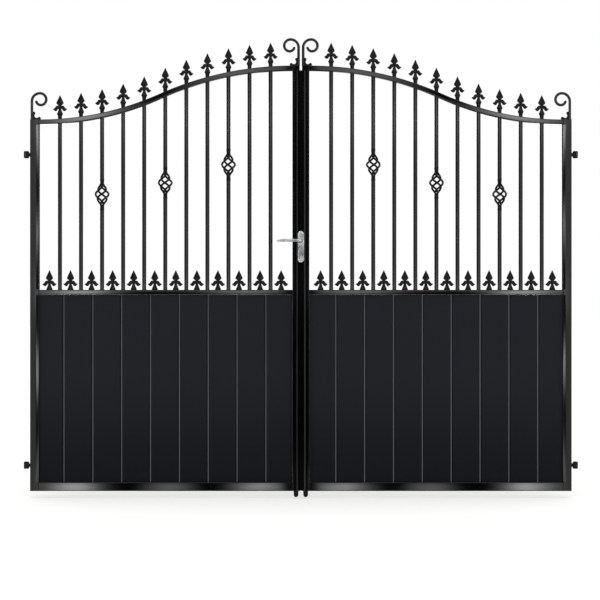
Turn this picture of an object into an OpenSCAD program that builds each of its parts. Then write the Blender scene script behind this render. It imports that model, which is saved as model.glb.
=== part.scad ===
// Pair of bell-topped driveway gate leaves in welded aluminium: round bars with
// spear finials, twisted baskets and scrolls above, tongue-and-groove boards below.

/* [Gate] */
// Width over both leaves, between the outer faces of the hinge stiles
gate_w = 2812; // [2400:1:3600]
// Gap between the two meeting stiles
leaf_gap = 12; // [10:1:20]
// Height of the frame at the hinge stiles
side_h = 1930; // [1860:1:2100]
// Height of the frame at the meeting stiles
centre_h = 2210; // [2110:1:2500]
// Front-to-back depth of the stiles and the bottom rail
frame_d = 50; // [44:1:60]

/* [Frame] */
// Width of each hinge stile
hinge_stile_w = 45; // [40:1:70]
// Width of the wide chamfers along a hinge stile's inner edges
stile_chamfer_w = 14; // [6:1:18]
// Depth of those chamfers
stile_chamfer_d = 5; // [3:0.5:8]
// Width of each meeting stile
meeting_stile_w = 38; // [36:1:60]
// Height of the bottom rail
bottom_rail_h = 45; // [30:1:80]
// Height of the mid rail
mid_rail_h = 25; // [20:1:50]
// Height of the mid rail's top face above the foot of the frame
mid_rail_top = 1045; // [900:1:1150]
// Thickness of the curved top rail, measured across its curve
top_rail_t = 25; // [18:1:40]
// Front-to-back depth of the mid and top rails
rail_d = 40; // [30:1:44]
// Radius of the rounded edges of the frame sections
edge_r = 3; // [1:0.5:5]

/* [Bars] */
// Diameter of the upright bars
bar_d = 21; // [14:0.5:22]
// Number of upright bars in each leaf
bar_count = 11; // [7:4:15]
// Distance that the bars sit towards the hinges, off the leaf's middle
bar_shift = 3; // [0:0.5:6]

/* [Spear castings] */
// Height of a finial above the top rail
spear_h = 123; // [90:1:140]
// Width of the leaf-shaped spear head
spear_head_w = 37; // [26:1:40]
// Width over the two curled barbs
barb_span = 74; // [60:1:76]
// Width of a barb at its root
barb_w = 12.5; // [8:0.5:13]
// Front-to-back thickness of the barbs
barb_d = 14; // [13:0.5:16]
// Diameter of the flared collar
spear_collar_d = 31; // [24:1:34]
// Diameter of the neck between collar and spear head
spear_neck_d = 12; // [8:0.5:12.5]

/* [Baskets] */
// Length of the twisted strands between the end collars
basket_l = 146; // [120:1:180]
// Length of the belly, where the strands part
basket_belly_l = 130; // [100:1:140]
// Diameter of the strands' middle circle at the belly
basket_d = 67; // [50:1:80]
// Diameter of each of the four strands
strand_d = 9.5; // [5:0.5:9.5]
// Diameter of the collars at both ends
basket_collar_d = 24; // [22.5:0.5:30]
// Height of each collar
basket_collar_h = 11; // [8:0.5:20]

/* [Scrolls] */
// Diameter of the scroll rod
scroll_rod_d = 12; // [8:0.5:12.5]
// Height of the straight stem before the first curl
scroll_stem_h = 100; // [80:1:130]
// Radius of the first quarter turn, on the rod's centre line
scroll_r = 41.5; // [36:0.5:44]
// Distance of an outer scroll's stem from the leaf's outer face
scroll_edge = 7.5; // [7:0.5:12]
// Height of the stem's foot casting
foot_h = 42; // [30:1:60]
// Length of the foot casting along the rail
foot_l = 46; // [32:1:50]
// Front-to-back thickness of the foot casting
foot_d = 14; // [10:1:20]
// Thickness of the foot casting's legs
foot_t = 8; // [5:0.5:9]
// Diameter of the round lobes at the ends of the foot casting
foot_lobe_d = 15; // [10:0.5:16]

/* [Boards] */
// Covering width of one tongue-and-groove board
board_pitch = 150; // [120:1:180]
// Thickness of a board
board_t = 20; // [16:0.5:26]
// Distance that the boards sit towards the hinges, off the leaf's middle
board_shift = 7.5; // [0:0.5:15]
// Width of the chamfer along each board's hinge-side edge
board_chamfer_w = 6; // [3:0.5:10]
// Depth of that chamfer
board_chamfer = 3.5; // [2:0.5:5]
// Width of the open joint beside each chamfer
board_joint = 4.5; // [2:0.5:6]
// Length of the tongue
tongue_l = 8; // [5:0.5:10]
// Thickness of the tongue
tongue_t = 6; // [4:0.5:7]

/* [Hinges] */
// Diameter of the hinge pins
hinge_pin_d = 10; // [8:0.5:12]
// Outer diameter of the eye that turns on the pin
hinge_eye_d = 20; // [18:0.5:22]
// Height of the eye
hinge_eye_h = 24; // [20:1:30]
// Distance from a hinge stile to the pin
hinge_offset = 15; // [14:0.5:20]
// Thickness of the bracket's back plate
hinge_plate_t = 6; // [5:0.5:8]
// Thickness of each bracket ear
hinge_ear_t = 6.5; // [5:0.5:8]
// Distance of the pins in front of the leaf's middle plane
hinge_front = 14; // [12:1:15]
// Distance from the top of a hinge stile down to the upper hinge
upper_hinge_drop = 183; // [130:1:430]
// Height of the lower hinges
lower_hinge_z = 134; // [100:1:300]

/* [Lock] */
// Width of the strip that covers the gap between the leaves
strip_w = 48; // [40:1:56]
// Thickness of the cover strip
strip_t = 6; // [4:0.5:8]
// Distance from the cover strip to the stile that it overlaps
strip_clearance = 5; // [5:0.5:8]
// Distance from the top of the meeting stiles down to the strip
strip_drop = 27; // [10:1:60]
// Width of the lever's backplate
plate_w = 35; // [32:1:40]
// Height of the backplate
plate_h = 166; // [150:1:200]
// Thickness of the backplate
plate_t = 8; // [6:0.5:12]
// Distance from the spindle up to the top of the backplate
plate_head = 52; // [46:1:60]
// Height of the lever's spindle above the foot of the frame
lever_z = 1299; // [1290:1:1400]
// Length of the lever from its spindle
lever_l = 126.5; // [110:0.5:140]
// Greatest height of the lever's blade
lever_d = 20; // [16:0.5:22]
// Distance from the backplate to the middle of the blade
lever_reach = 48; // [40:1:60]
// Distance from the spindle down to the key cylinder
cylinder_drop = 72; // [66:0.5:78]

/* [Drop bolts] */
// Diameter of the drop bolts
bolt_d = 23; // [18:0.5:24]
// Length of bolt that stands out below the frame
bolt_drop = 34; // [25:1:50]
// Length of bolt inside its meeting stile
bolt_hidden = 330; // [250:1:420]
// Travel of the bolts
bolt_travel = 60; // [50:1:80]
// Diameter of the thumb stud that lifts a bolt
stud_d = 8; // [6:0.5:10]
// Height of the stud above its stile's edge
stud_proud = 3; // [2:0.5:3]

/* [Hidden] */
// Gap left at curved seats and loose fits
seat_gap = 0.2;
// Clearance round the hinge pins and the lever's neck
pin_clearance = 0.05;
// Play of each eye between its bracket's ears
hinge_play = 0.5;
// Clearance round the drop bolts and their studs
bolt_clearance = 0.3;
// Gap between neighbouring boards
board_gap = 0.4;
// Step from a finial's shank to its collar
collar_lip = 0.6;
// Overrun of all cuts
cut = 1;
// Gap between a hinge eye and its bracket's back plate
bracket_gap = 2;
// Radius of the hinge brackets' corners, seen from the front
bracket_r = 8;
// Width and depth of the chamfers along the cover strip's front edges
strip_chamfer_w = 8;
strip_chamfer = 2.5;
// Clear height of the cover strip's foot above the foot of the frame
strip_foot = 3;
// Diameter of the lever's neck and of the weld washer behind each hinge eye
lever_neck_d = 17;
eye_washer_d = 22;
eye_washer_t = 3;
eye_neck_d = 15;
// Key cylinder: barrel, web below it, full height, stand-out and keyway
barrel_d = 17;
barrel_web_w = 10;
barrel_h = 33;
barrel_proud = 3;
keyway_w = 2.5;
keyway_h = 9;
$fn = 48;
long_arc_fn = 1080;
quarter_turn = 90;

// Shares chosen from the castings' outline, of the spear's height
shank_share = 0.096;
collar_share = 0.192;
neck_share = 0.42;
head_foot_share = 0.49;
spike_cut_share = 0.182;
// Points of the cubic curve along a barb, of half the span and of the spear's height
barb_point_shares = [[0.08, 0.517], [0.74, 0.58], [0.42, 0.295], [1, 0.425]];
// Heights (of the head's own height) and widths (of its width) along the edge of the spear head
head_height_shares = [0, 0.11, 0.2, 0.29, 0.38, 0.48, 0.62, 0.8, 1];
head_width_shares = [0.3, 0.42, 0.68, 0.92, 1, 0.93, 0.7, 0.36, 0.03];
// Thickness of the spear head as a share of its width
head_depth_share = 0.5;
// Part of the bell curve that hollows upwards
low_arc_share = 0.478;
// End spacing of the bars as a share of their pitch
bar_end_share = 1.008;
// Heights of the baskets between mid and top rail
basket_height_shares = [0.551, 0.55, 0.586];
// Radii of a scroll's quarter turns as shares of the first
scroll_turn_shares = [1, 0.795, 0.687, 0.578];
// Radius of the strands' end circle as a share of the strand
strand_end_share = 0.73;
// Height of the lever's blade along its length, and its depth, as shares of its greatest height
blade_shares = [0.82, 0.9, 1, 1, 0.92, 0.82, 0.77, 0.74, 0.66, 0.46, 0.08];
blade_depth_share = 0.7;

// Taper of a barb towards its tip, and steps of the swept shapes
barb_taper = 5;
barb_steps = 9;
strand_count = 4;
strand_rings = 16;
strand_sides = 6;
collar_steps = 4;
rail_rings = 48;
corner_steps = 4;

frame_black = [0.1, 0.1, 0.11];
board_black = [0.14, 0.15, 0.17];
satin_chrome = [0.74, 0.74, 0.75];
zinc_grey = [0.3, 0.3, 0.31];

// Left leaf in elevation, with x = 0 between the leaves
outer_x = -gate_w / 2;
inner_x = -leaf_gap / 2;
left_clear_x = outer_x + hinge_stile_w;
right_clear_x = inner_x - meeting_stile_w;
clear_w = right_clear_x - left_clear_x;

// Bell curve of the top rail: two tangent arcs, level at both stiles. A falling curve has negative radii
rise = centre_h - side_h;
arc_sum = (clear_w * clear_w + rise * rise) / (2 * rise);
arc_angle = asin(clear_w / arc_sum);
low_r = arc_sum * low_arc_share;
high_r = arc_sum - low_r;
low_c = [left_clear_x, side_h - top_rail_t / 2 + low_r];
high_c = [right_clear_x, centre_h - top_rail_t / 2 - high_r];
turn_x = left_clear_x + low_r * sin(arc_angle);

bar_pitch = clear_w / (bar_count - 1 + 2 * bar_end_share);
first_bar_x = left_clear_x + bar_end_share * bar_pitch - bar_shift;
basket_full_l = basket_l + 2 * basket_collar_h;
basket_bars = [for (k = [1 : 3]) round((bar_count + 1) * k / 4) - 1];

hinge_eye_r = hinge_eye_d / 2;
bracket_h = hinge_eye_h + 2 * (hinge_play + hinge_ear_t);
pad_x = hinge_offset + hinge_eye_r + bracket_gap + hinge_plate_t;
hinge_x = outer_x - hinge_offset;
upper_hinge_z = side_h - upper_hinge_drop;

strip_front = frame_d / 2 + strip_clearance + strip_t;
plate_mid_z = lever_z + plate_head - plate_h / 2;
bolt_x = inner_x - meeting_stile_w / 2;
stud_z = bolt_hidden - stud_d;

// Height of the top rail's middle line, and of its upper face, above a point of the leaf
function arc_z(x, half_t) = x < turn_x
    ? low_c[1] - sign(rise) * sqrt(pow(low_r - half_t, 2) - pow(x - low_c[0], 2))
    : high_c[1] + sign(rise) * sqrt(pow(high_r + half_t, 2) - pow(x - high_c[0], 2));
function rail_slope(x) = x < turn_x ? asin((x - low_c[0]) / low_r) : asin((high_c[0] - x) / high_r);
function rail_mid_z(x) = arc_z(x, 0);
function rail_top_z(x) = arc_z(x, top_rail_t / 2);
function bar_x(i) = first_bar_x + i * bar_pitch;
function basket_z(k) = let (x = bar_x(basket_bars[k]))
    mid_rail_top + (rail_mid_z(x) - mid_rail_top) * basket_height_shares[k];
// Smooth step between two values
function ease(a, b, s) = a + (b - a) * (1 - cos(180 * s)) / 2;

// Rectangle with rounded corners, as an outline about its centre
function rounded_rect(w, d, r) = [for (c = [0 : 3], k = [0 : corner_steps])
    let (a = 90 * (c + k / corner_steps))
    [(c == 0 || c == 3 ? 1 : -1) * (w / 2 - r) + r * cos(a), (c < 2 ? 1 : -1) * (d / 2 - r) + r * sin(a)]];

// Faces of a closed skin over n rings of m points each, two triangles to each field
function skin_faces(n, m) = concat(
    [[for (j = [0 : m - 1]) j]],
    [for (i = [0 : n - 2], j = [0 : m - 1]) let (p = i * m + j, q = i * m + (j + 1) % m)
        each [[p, p + m, q + m], [p, q + m, q]]],
    [[for (j = [m - 1 : -1 : 0]) (n - 1) * m + j]]);

// The gate's own frame: the origin is the middle of the lower left hinge pad
module in_place() translate([pad_x - outer_x, hinge_front, -lower_hinge_z]) children();
// Stands an outline drawn in elevation upright, with its depth along y
module upright(depth) rotate([90, 0, 0]) linear_extrude(height = depth, center = true) children();

module post_section(x, w, h) translate([x + w / 2, 0, 0])
    linear_extrude(height = h) polygon(rounded_rect(w, frame_d, edge_r));

// Hinge stile, its outer edges rounded, its inner edges chamfered wide at front and back
module hinge_stile() {
    half = [hinge_stile_w / 2, frame_d / 2];
    rounded = rounded_rect(hinge_stile_w, frame_d, edge_r);
    outer = [for (k = [corner_steps + 1 : 3 * corner_steps + 2]) rounded[k]];
    translate([outer_x + half[0], 0, 0]) linear_extrude(height = side_h) polygon(concat(
        [[half[0], half[1] - stile_chamfer_d], [half[0] - stile_chamfer_w, half[1]]], outer,
        [[half[0] - stile_chamfer_w, -half[1]], [half[0], stile_chamfer_d - half[1]]]));
}

module meeting_stile() difference() {
    post_section(right_clear_x, meeting_stile_w, centre_h);
    translate([bolt_x, 0, -cut])
        cylinder(d = bolt_d + 2 * bolt_clearance, h = bolt_hidden + bolt_travel + bolt_d + cut);
    translate([bolt_x, -stud_d / 2 - bolt_clearance, stud_z - stud_d / 2 - bolt_clearance])
        cube([meeting_stile_w, stud_d + 2 * bolt_clearance, bolt_travel + stud_d + 2 * bolt_clearance]);
}

module level_rail(z, h, d) translate([left_clear_x, 0, z + h / 2]) rotate([90, 0, 90])
    linear_extrude(height = clear_w) polygon(rounded_rect(d, h, edge_r));

// Rolled top rail: a rounded section carried along the bell curve, square to it
module top_rail() {
    section = rounded_rect(top_rail_t, rail_d, edge_r);
    points = [for (k = [0 : rail_rings])
        let (x = left_clear_x + clear_w * k / rail_rings, a = rail_slope(x))
        for (p = section) [x - p[0] * sin(a), -p[1], rail_mid_z(x) + p[0] * cos(a)]];
    polyhedron(points, skin_faces(rail_rings + 1, len(section)));
}
// Room that the bars and finials leave for the top rail: a square band along both arcs
module room_arc(centre, r, start) translate(centre) mirror([0, rise < 0 ? 1 : 0, 0]) rotate(start)
    rotate_extrude(angle = abs(arc_angle) + asin(bar_d / abs(r)), $fn = long_arc_fn)
        translate([abs(r), 0]) square([top_rail_t + 2 * seat_gap, frame_d], center = true);
module top_rail_room() rotate([90, 0, 0]) {
    room_arc(low_c, low_r, -quarter_turn);
    room_arc(high_c, high_r, quarter_turn);
}

module bar_run(x, z0, z1) translate([x, 0, z0]) cylinder(d = bar_d, h = z1 - z0);

// Top stretch of a bar, coped to the underside of the curved rail
module coped_run(x, z0) difference() {
    bar_run(x, z0, rail_mid_z(x));
    top_rail_room();
}
// Bars from the mid rail to the top rail, parted where a basket is set in
module bars() for (i = [0 : bar_count - 1]) {
    x = bar_x(i);
    k = search(i, basket_bars);
    if (len(k) == 0) coped_run(x, mid_rail_top);
    else {
        bar_run(x, mid_rail_top, basket_z(k[0]) - basket_full_l / 2);
        coped_run(x, basket_z(k[0]) + basket_full_l / 2);
    }
}

// Turned foot of a spear casting, from height z0 to the head
module spear_collar(z0) {
    collar_z = spear_h * collar_share;
    neck_z = spear_h * neck_share;
    neck_top = spear_h * barb_point_shares[0][1];
    rotate_extrude() polygon(concat(
        [[0, z0]],
        [for (k = [0 : collar_steps]) let (s = k / collar_steps)
            [ease(bar_d / 2 + collar_lip, spear_collar_d / 2, s), z0 + (collar_z - z0) * s]],
        [[spear_neck_d / 2, neck_z], [spear_neck_d / 2, neck_top], [0, neck_top]]));
}

// Leaf-shaped head with a ridge on each side: two upright blades, turned apart, meet in a diamond section
module spear_head() {
    foot_z = spear_h * head_foot_share;
    ridge_a = atan(1 / head_depth_share);
    edge = [for (k = [0 : len(head_height_shares) - 1])
        [spear_head_w / 2 * cos(ridge_a) * head_width_shares[k],
            foot_z + (spear_h - foot_z) * head_height_shares[k]]];
    blade = concat(edge, [for (k = [len(edge) - 1 : -1 : 0]) [-edge[k][0], edge[k][1]]]);
    intersection() {
        rotate(ridge_a) upright(2 * spear_head_w) polygon(blade);
        rotate(-ridge_a) upright(2 * spear_head_w) polygon(blade);
    }
}

// Middle line of the right-hand barb, a cubic curve, and its half width along it
function barb_point(t) = [for (m = [0, 1]) [barb_span / 2, spear_h][m]
    * [pow(1 - t, 3), 3 * t * pow(1 - t, 2), 3 * t * t * (1 - t), pow(t, 3)]
    * [for (p = barb_point_shares) p[m]]];
function barb_edge(t, side) = let (
        run = barb_point(t + 1 / barb_steps) - barb_point(t - 1 / barb_steps),
        half_w = barb_w / 2 * (1 - pow(t, barb_taper)))
    barb_point(t) + side * half_w * [-run[1], run[0]] / norm(run);
// Both barbs in one outline, like a moustache
module barbs() {
    upper = [for (k = [barb_steps : -1 : 0]) barb_edge(k / barb_steps, 1)];
    lower = [for (k = [0 : barb_steps - 1]) barb_edge(k / barb_steps, -1)];
    n = len(upper);
    upright(barb_d) polygon(concat(upper, [for (k = [n - 1 : -1 : 0]) [-upper[k][0], upper[k][1]]],
        [for (k = [len(lower) - 1 : -1 : 0]) [-lower[k][0], lower[k][1]]], lower));
}

module spear_casting(z0) {
    spear_collar(z0);
    spear_head();
    barbs();
}

// A finial over each bar, its shank coped to the curve of the rail
module finials() for (i = [0 : bar_count - 1]) {
    x = bar_x(i);
    shank_z = spear_h * shank_share;
    translate([x, 0, rail_top_z(x)]) spear_casting(shank_z);
    difference() {
        bar_run(x, rail_mid_z(x), rail_top_z(x) + spear_h * collar_share);
        top_rail_room();
    }
}

// The same casting, cut at its flare, between the bars along the mid rail
module dog_spikes() for (i = [-1 : bar_count - 1])
    translate([bar_x(i) + bar_pitch / 2, 0, mid_rail_top]) difference() {
        translate([0, 0, -spear_h * spike_cut_share]) spear_casting(spear_h * shank_share);
        translate([0, 0, -spear_h / 2]) cube([barb_span, barb_span, spear_h], center = true);
    }

// Middle line of a basket strand at height share s, and the strand as a swept tube
function strand_r(s) = let (v = max(-1, min(1, (2 * s - 1) * basket_l / basket_belly_l)))
    ease(strand_d * strand_end_share, basket_d / 2, 1 - abs(v));
function strand_point(s, phase) = let (a = phase + 360 * s)
    [strand_r(s) * cos(a), strand_r(s) * sin(a), basket_l * (s - 1 / 2)];
module strand(phase) {
    step = 1 / strand_rings;
    points = [for (i = [0 : strand_rings]) let (
            s = i * step, p = strand_point(s, phase), a = phase + 360 * s,
            run = strand_point(s + step / 4, phase) - strand_point(s - step / 4, phase),
            t = i == 0 || i == strand_rings ? [0, 0, 1] : run / norm(run),
            out = [cos(a), sin(a), 0],
            side = cross(t, out) / norm(cross(t, out)),
            up = cross(side, t))
        for (j = [0 : strand_sides - 1]) let (b = 360 * j / strand_sides)
            p + strand_d / 2 * (cos(b) * up + sin(b) * side)];
    polyhedron(points, skin_faces(strand_rings + 1, strand_sides));
}

// Four strands twisted a full turn between two collars
module basket() {
    for (k = [0 : strand_count - 1]) strand(360 * k / strand_count);
    for (m = [0, 1]) mirror([0, 0, m]) translate([0, 0, basket_l / 2 + seat_gap])
        cylinder(d = basket_collar_d, h = basket_collar_h - 2 * seat_gap);
}
module baskets() for (k = [0 : len(basket_bars) - 1])
    translate([bar_x(basket_bars[k]), 0, basket_z(k)]) basket();

// Scroll rod that turns towards +x: a stem and four quarter turns, each tighter
module scroll() {
    r = [for (share = scroll_turn_shares) share * scroll_r];
    c = [[r[0], scroll_stem_h], [r[0], scroll_stem_h + r[0] - r[1]],
        [r[0] + r[1] - r[2], scroll_stem_h + r[0] - r[1]],
        [r[0] + r[1] - r[2], scroll_stem_h + r[0] - r[1] - r[2] + r[3]]];
    cylinder(d = scroll_rod_d, h = scroll_stem_h);
    rotate([90, 0, 0]) {
        for (k = [0 : 3]) translate(c[k]) rotate(quarter_turn * (1 - k))
            rotate_extrude(angle = quarter_turn) translate([r[k], 0]) circle(d = scroll_rod_d);
        translate(c[3] - [r[3], 0]) sphere(d = scroll_rod_d);
    }
}
// L-shaped casting in the corner of a scroll's stem, hollowed between two lobes
module scroll_foot() {
    inside = scroll_rod_d / 2 + seat_gap;
    hollow_r = min(foot_h, foot_l) - foot_t - foot_lobe_d / 2;
    translate([inside, 0, seat_gap]) upright(foot_d) difference() {
        union() {
            square([foot_l - inside, foot_t]);
            square([foot_t, foot_h - foot_lobe_d / 2]);
            translate([foot_t, foot_t]) square([hollow_r, hollow_r]);
            translate([foot_l - inside - foot_lobe_d / 2, foot_lobe_d / 2]) circle(d = foot_lobe_d);
            translate([foot_lobe_d / 2, foot_h - foot_lobe_d / 2]) circle(d = foot_lobe_d);
        }
        translate([foot_t + hollow_r, foot_t + hollow_r]) circle(r = hollow_r);
    }
}
module at_scroll_stems() {
    translate([outer_x + scroll_edge, 0, side_h]) children();
    translate([inner_x - scroll_rod_d / 2, 0, centre_h]) mirror([1, 0, 0]) children();
}
module scrolls() at_scroll_stems() scroll();
module scroll_feet() at_scroll_stems() scroll_foot();

// Boards set between the rails: whole ones in the middle, cut ones at both stiles
board_whole = 2 * floor((clear_w / board_pitch - 1) / 2) + 1;
board_cut_w = (clear_w - board_whole * board_pitch) / 2;
module board(x, w, grooved, tongued) {
    l = x + board_gap / 2;
    r = x + w - board_gap / 2;
    half_t = board_t / 2;
    groove_t = tongue_t + 2 * seat_gap;
    left_edge = grooved ? [[l + board_chamfer_w, half_t], [l, half_t - board_chamfer],
        [l, groove_t / 2], [l + tongue_l, groove_t / 2], [l + tongue_l, -groove_t / 2], [l, -groove_t / 2],
        [l, board_chamfer - half_t], [l + board_chamfer_w, -half_t]] : [[l, half_t], [l, -half_t]];
    shoulder = r - board_joint;
    tip = r + tongue_l - seat_gap;
    right_edge = tongued ? [[shoulder, -half_t], [shoulder, -tongue_t / 2], [tip, -tongue_t / 2],
        [tip, tongue_t / 2], [shoulder, tongue_t / 2], [shoulder, half_t]] : [[r, -half_t], [r, half_t]];
    foot_z = bottom_rail_h + seat_gap;
    translate([0, 0, foot_z]) linear_extrude(height = mid_rail_top - mid_rail_h - seat_gap - foot_z)
        polygon(concat(left_edge, right_edge));
}
module infill_boards() {
    first_w = board_cut_w - board_shift;
    last_w = board_cut_w + board_shift;
    board(left_clear_x, first_w, false, true);
    for (i = [0 : board_whole - 1])
        board(left_clear_x + first_w + i * board_pitch, board_pitch, true, true);
    board(right_clear_x - last_w, last_w, true, false);
}

// Eye on a short neck, welded to the hinge stile
module hinge_eye(z) translate([hinge_x, -hinge_front, z]) difference() {
    union() {
        cylinder(d = hinge_eye_d, h = hinge_eye_h, center = true);
        rotate([0, 90, 0]) cylinder(d = eye_neck_d, h = hinge_offset);
        translate([hinge_offset - eye_washer_t, 0, 0]) rotate([0, 90, 0])
            cylinder(d = eye_washer_d, h = eye_washer_t);
    }
    cylinder(d = hinge_pin_d + 2 * pin_clearance, h = hinge_eye_h + cut, center = true);
}
module hinge_eyes() {
    hinge_eye(lower_hinge_z);
    hinge_eye(upper_hinge_z);
}
// Forked bracket that is welded to the post: a back plate with two ears
module hinge_bracket(z) translate([hinge_x, -hinge_front, z]) difference() {
    bracket_w = pad_x - hinge_offset + hinge_eye_r;
    intersection() {
        union() {
            translate([hinge_offset - pad_x, -hinge_eye_r, -bracket_h / 2])
                cube([hinge_plate_t, hinge_eye_d, bracket_h]);
            for (m = [0, 1]) mirror([0, 0, m]) translate([0, 0, bracket_h / 2 - hinge_ear_t]) {
                cylinder(r = hinge_eye_r, h = hinge_ear_t);
                translate([hinge_offset - pad_x, -hinge_eye_r, 0])
                    cube([pad_x - hinge_offset, hinge_eye_d, hinge_ear_t]);
            }
        }
        translate([hinge_eye_r - bracket_w / 2, 0, 0]) upright(2 * hinge_eye_d)
            polygon(rounded_rect(bracket_w, bracket_h, bracket_r));
    }
    cylinder(d = hinge_pin_d + 2 * pin_clearance, h = bracket_h + cut, center = true);
}
module hinge_pins() for (z = [lower_hinge_z, upper_hinge_z])
    translate([hinge_x, -hinge_front, z]) cylinder(d = hinge_pin_d, h = bracket_h, center = true);

// Bolt that drops out of its meeting stile into the ground, lifted by a stud in the stile's edge
module drop_bolt() {
    translate([bolt_x, 0, bolt_d / 2 - bolt_drop]) {
        sphere(d = bolt_d);
        cylinder(d = bolt_d, h = bolt_hidden + bolt_drop - bolt_d / 2);
    }
    translate([bolt_x, 0, stud_z]) rotate([0, 90, 0])
        cylinder(d = stud_d, h = meeting_stile_w / 2 + stud_proud);
}

// Cover strip: a flat bar on a packing that is screwed to the left meeting stile
module cover_strip() {
    h = centre_h - strip_drop - strip_foot;
    back = -frame_d / 2;
    translate([0, 0, strip_foot]) linear_extrude(height = h) polygon([
        [-strip_w / 2, back], [inner_x, back], [inner_x, back - strip_clearance],
        [strip_w / 2, back - strip_clearance], [strip_w / 2, strip_chamfer - strip_front],
        [strip_w / 2 - strip_chamfer_w, -strip_front], [strip_chamfer_w - strip_w / 2, -strip_front],
        [-strip_w / 2, strip_chamfer - strip_front]]);
}
module key_outline(d, web_w, h) {
    circle(d = d);
    translate([-web_w / 2, d / 2 - h + web_w / 2]) square([web_w, h - d / 2 - web_w / 2]);
    translate([0, d / 2 - h + web_w / 2]) circle(d = web_w);
}
// Long rounded plate behind lever and key
module backplate() difference() {
    translate([0, -strip_front - plate_t / 2, plate_mid_z]) upright(plate_t) union() {
        square([plate_w, plate_h - plate_w], center = true);
        for (s = [-1, 1]) translate([0, s * (plate_h - plate_w) / 2]) circle(d = plate_w);
    }
    translate([0, -strip_front - plate_t / 2, lever_z]) rotate([90, 0, 0])
        cylinder(d = lever_neck_d + 2 * seat_gap, h = plate_t + cut, center = true);
    translate([0, -strip_front - plate_t / 2, lever_z - cylinder_drop]) upright(plate_t + cut)
        key_outline(barrel_d + 2 * seat_gap, barrel_web_w + 2 * seat_gap, barrel_h + 2 * seat_gap);
}
module key_cylinder() {
    l = plate_t + barrel_proud;
    translate([0, -strip_front - l / 2, lever_z - cylinder_drop]) difference() {
        upright(l) key_outline(barrel_d, barrel_web_w, barrel_h);
        translate([0, -l / 2, 0]) cube([keyway_w, 2 * barrel_proud, keyway_h], center = true);
    }
}
// Lever that points to the hinge side: a neck out of the plate and a flattened blade that thins to a tip
module lever() translate([0, -strip_front - seat_gap, lever_z]) {
    reach = plate_t + lever_reach;
    steps = len(blade_shares) - 1;
    rotate([90, 0, 0]) cylinder(d = lever_neck_d, h = reach);
    translate([0, -reach, 0]) {
        sphere(d = lever_neck_d);
        scale([1, blade_depth_share, 1]) rotate([0, -90, 0]) rotate_extrude() polygon(concat([[0, 0]],
            [for (k = [0 : steps]) [lever_d / 2 * blade_shares[k], lever_l * k / steps]], [[0, lever_l]]));
    }
}

// Places a left-hand piece, or its mirror image on the right-hand side
module on_left(c) color(c) in_place() children();
module on_right(c) color(c) in_place() mirror([1, 0, 0]) children();

on_left(zinc_grey) hinge_bracket(lower_hinge_z);  // hinge_bracket_lower_left
on_left(zinc_grey) hinge_bracket(upper_hinge_z);  // hinge_bracket_upper_left
on_right(zinc_grey) hinge_bracket(lower_hinge_z);  // hinge_bracket_lower_right
on_right(zinc_grey) hinge_bracket(upper_hinge_z);  // hinge_bracket_upper_right
on_left(zinc_grey) hinge_pins();  // hinge_pins_left
on_right(zinc_grey) hinge_pins();  // hinge_pins_right
on_left(frame_black) hinge_stile();  // left_hinge_stile
on_left(frame_black) meeting_stile();  // left_meeting_stile
on_left(frame_black) top_rail();  // left_top_rail
on_left(frame_black) level_rail(mid_rail_top - mid_rail_h, mid_rail_h, rail_d);  // left_mid_rail
on_left(frame_black) level_rail(0, bottom_rail_h, frame_d);  // left_bottom_rail
on_left(frame_black) bars();  // left_bars
on_left(frame_black) finials();  // left_finials
on_left(frame_black) dog_spikes();  // left_dog_spikes
on_left(frame_black) baskets();  // left_baskets
on_left(board_black) infill_boards();  // left_boards
on_left(frame_black) scrolls();  // left_scrolls
on_left(frame_black) scroll_feet();  // left_scroll_feet
on_left(frame_black) hinge_eyes();  // left_hinge_eyes
on_left(zinc_grey) drop_bolt();  // left_drop_bolt
on_right(frame_black) hinge_stile();  // right_hinge_stile
on_right(frame_black) meeting_stile();  // right_meeting_stile
on_right(frame_black) top_rail();  // right_top_rail
on_right(frame_black) level_rail(mid_rail_top - mid_rail_h, mid_rail_h, rail_d);  // right_mid_rail
on_right(frame_black) level_rail(0, bottom_rail_h, frame_d);  // right_bottom_rail
on_right(frame_black) bars();  // right_bars
on_right(frame_black) finials();  // right_finials
on_right(frame_black) dog_spikes();  // right_dog_spikes
on_right(frame_black) baskets();  // right_baskets
on_right(board_black) infill_boards();  // right_boards
on_right(frame_black) scrolls();  // right_scrolls
on_right(frame_black) scroll_feet();  // right_scroll_feet
on_right(frame_black) hinge_eyes();  // right_hinge_eyes
on_right(zinc_grey) drop_bolt();  // right_drop_bolt
on_left(frame_black) cover_strip();
on_left(satin_chrome) backplate();  // lock_backplate
on_left(satin_chrome) key_cylinder();  // lock_cylinder
on_left(satin_chrome) lever();  // lever_handle
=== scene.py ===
"""Looks of a pair of bell-topped driveway gate leaves, built round the packed frame.

Shapes are worked out in the gate's own coordinates, in metres: x from the gap between the leaves,
y from the leaves' middle plane with the front at -y, z from the foot of the frame. They are drawn
for the left leaf, and the right leaf is its mirror image.
"""

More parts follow.
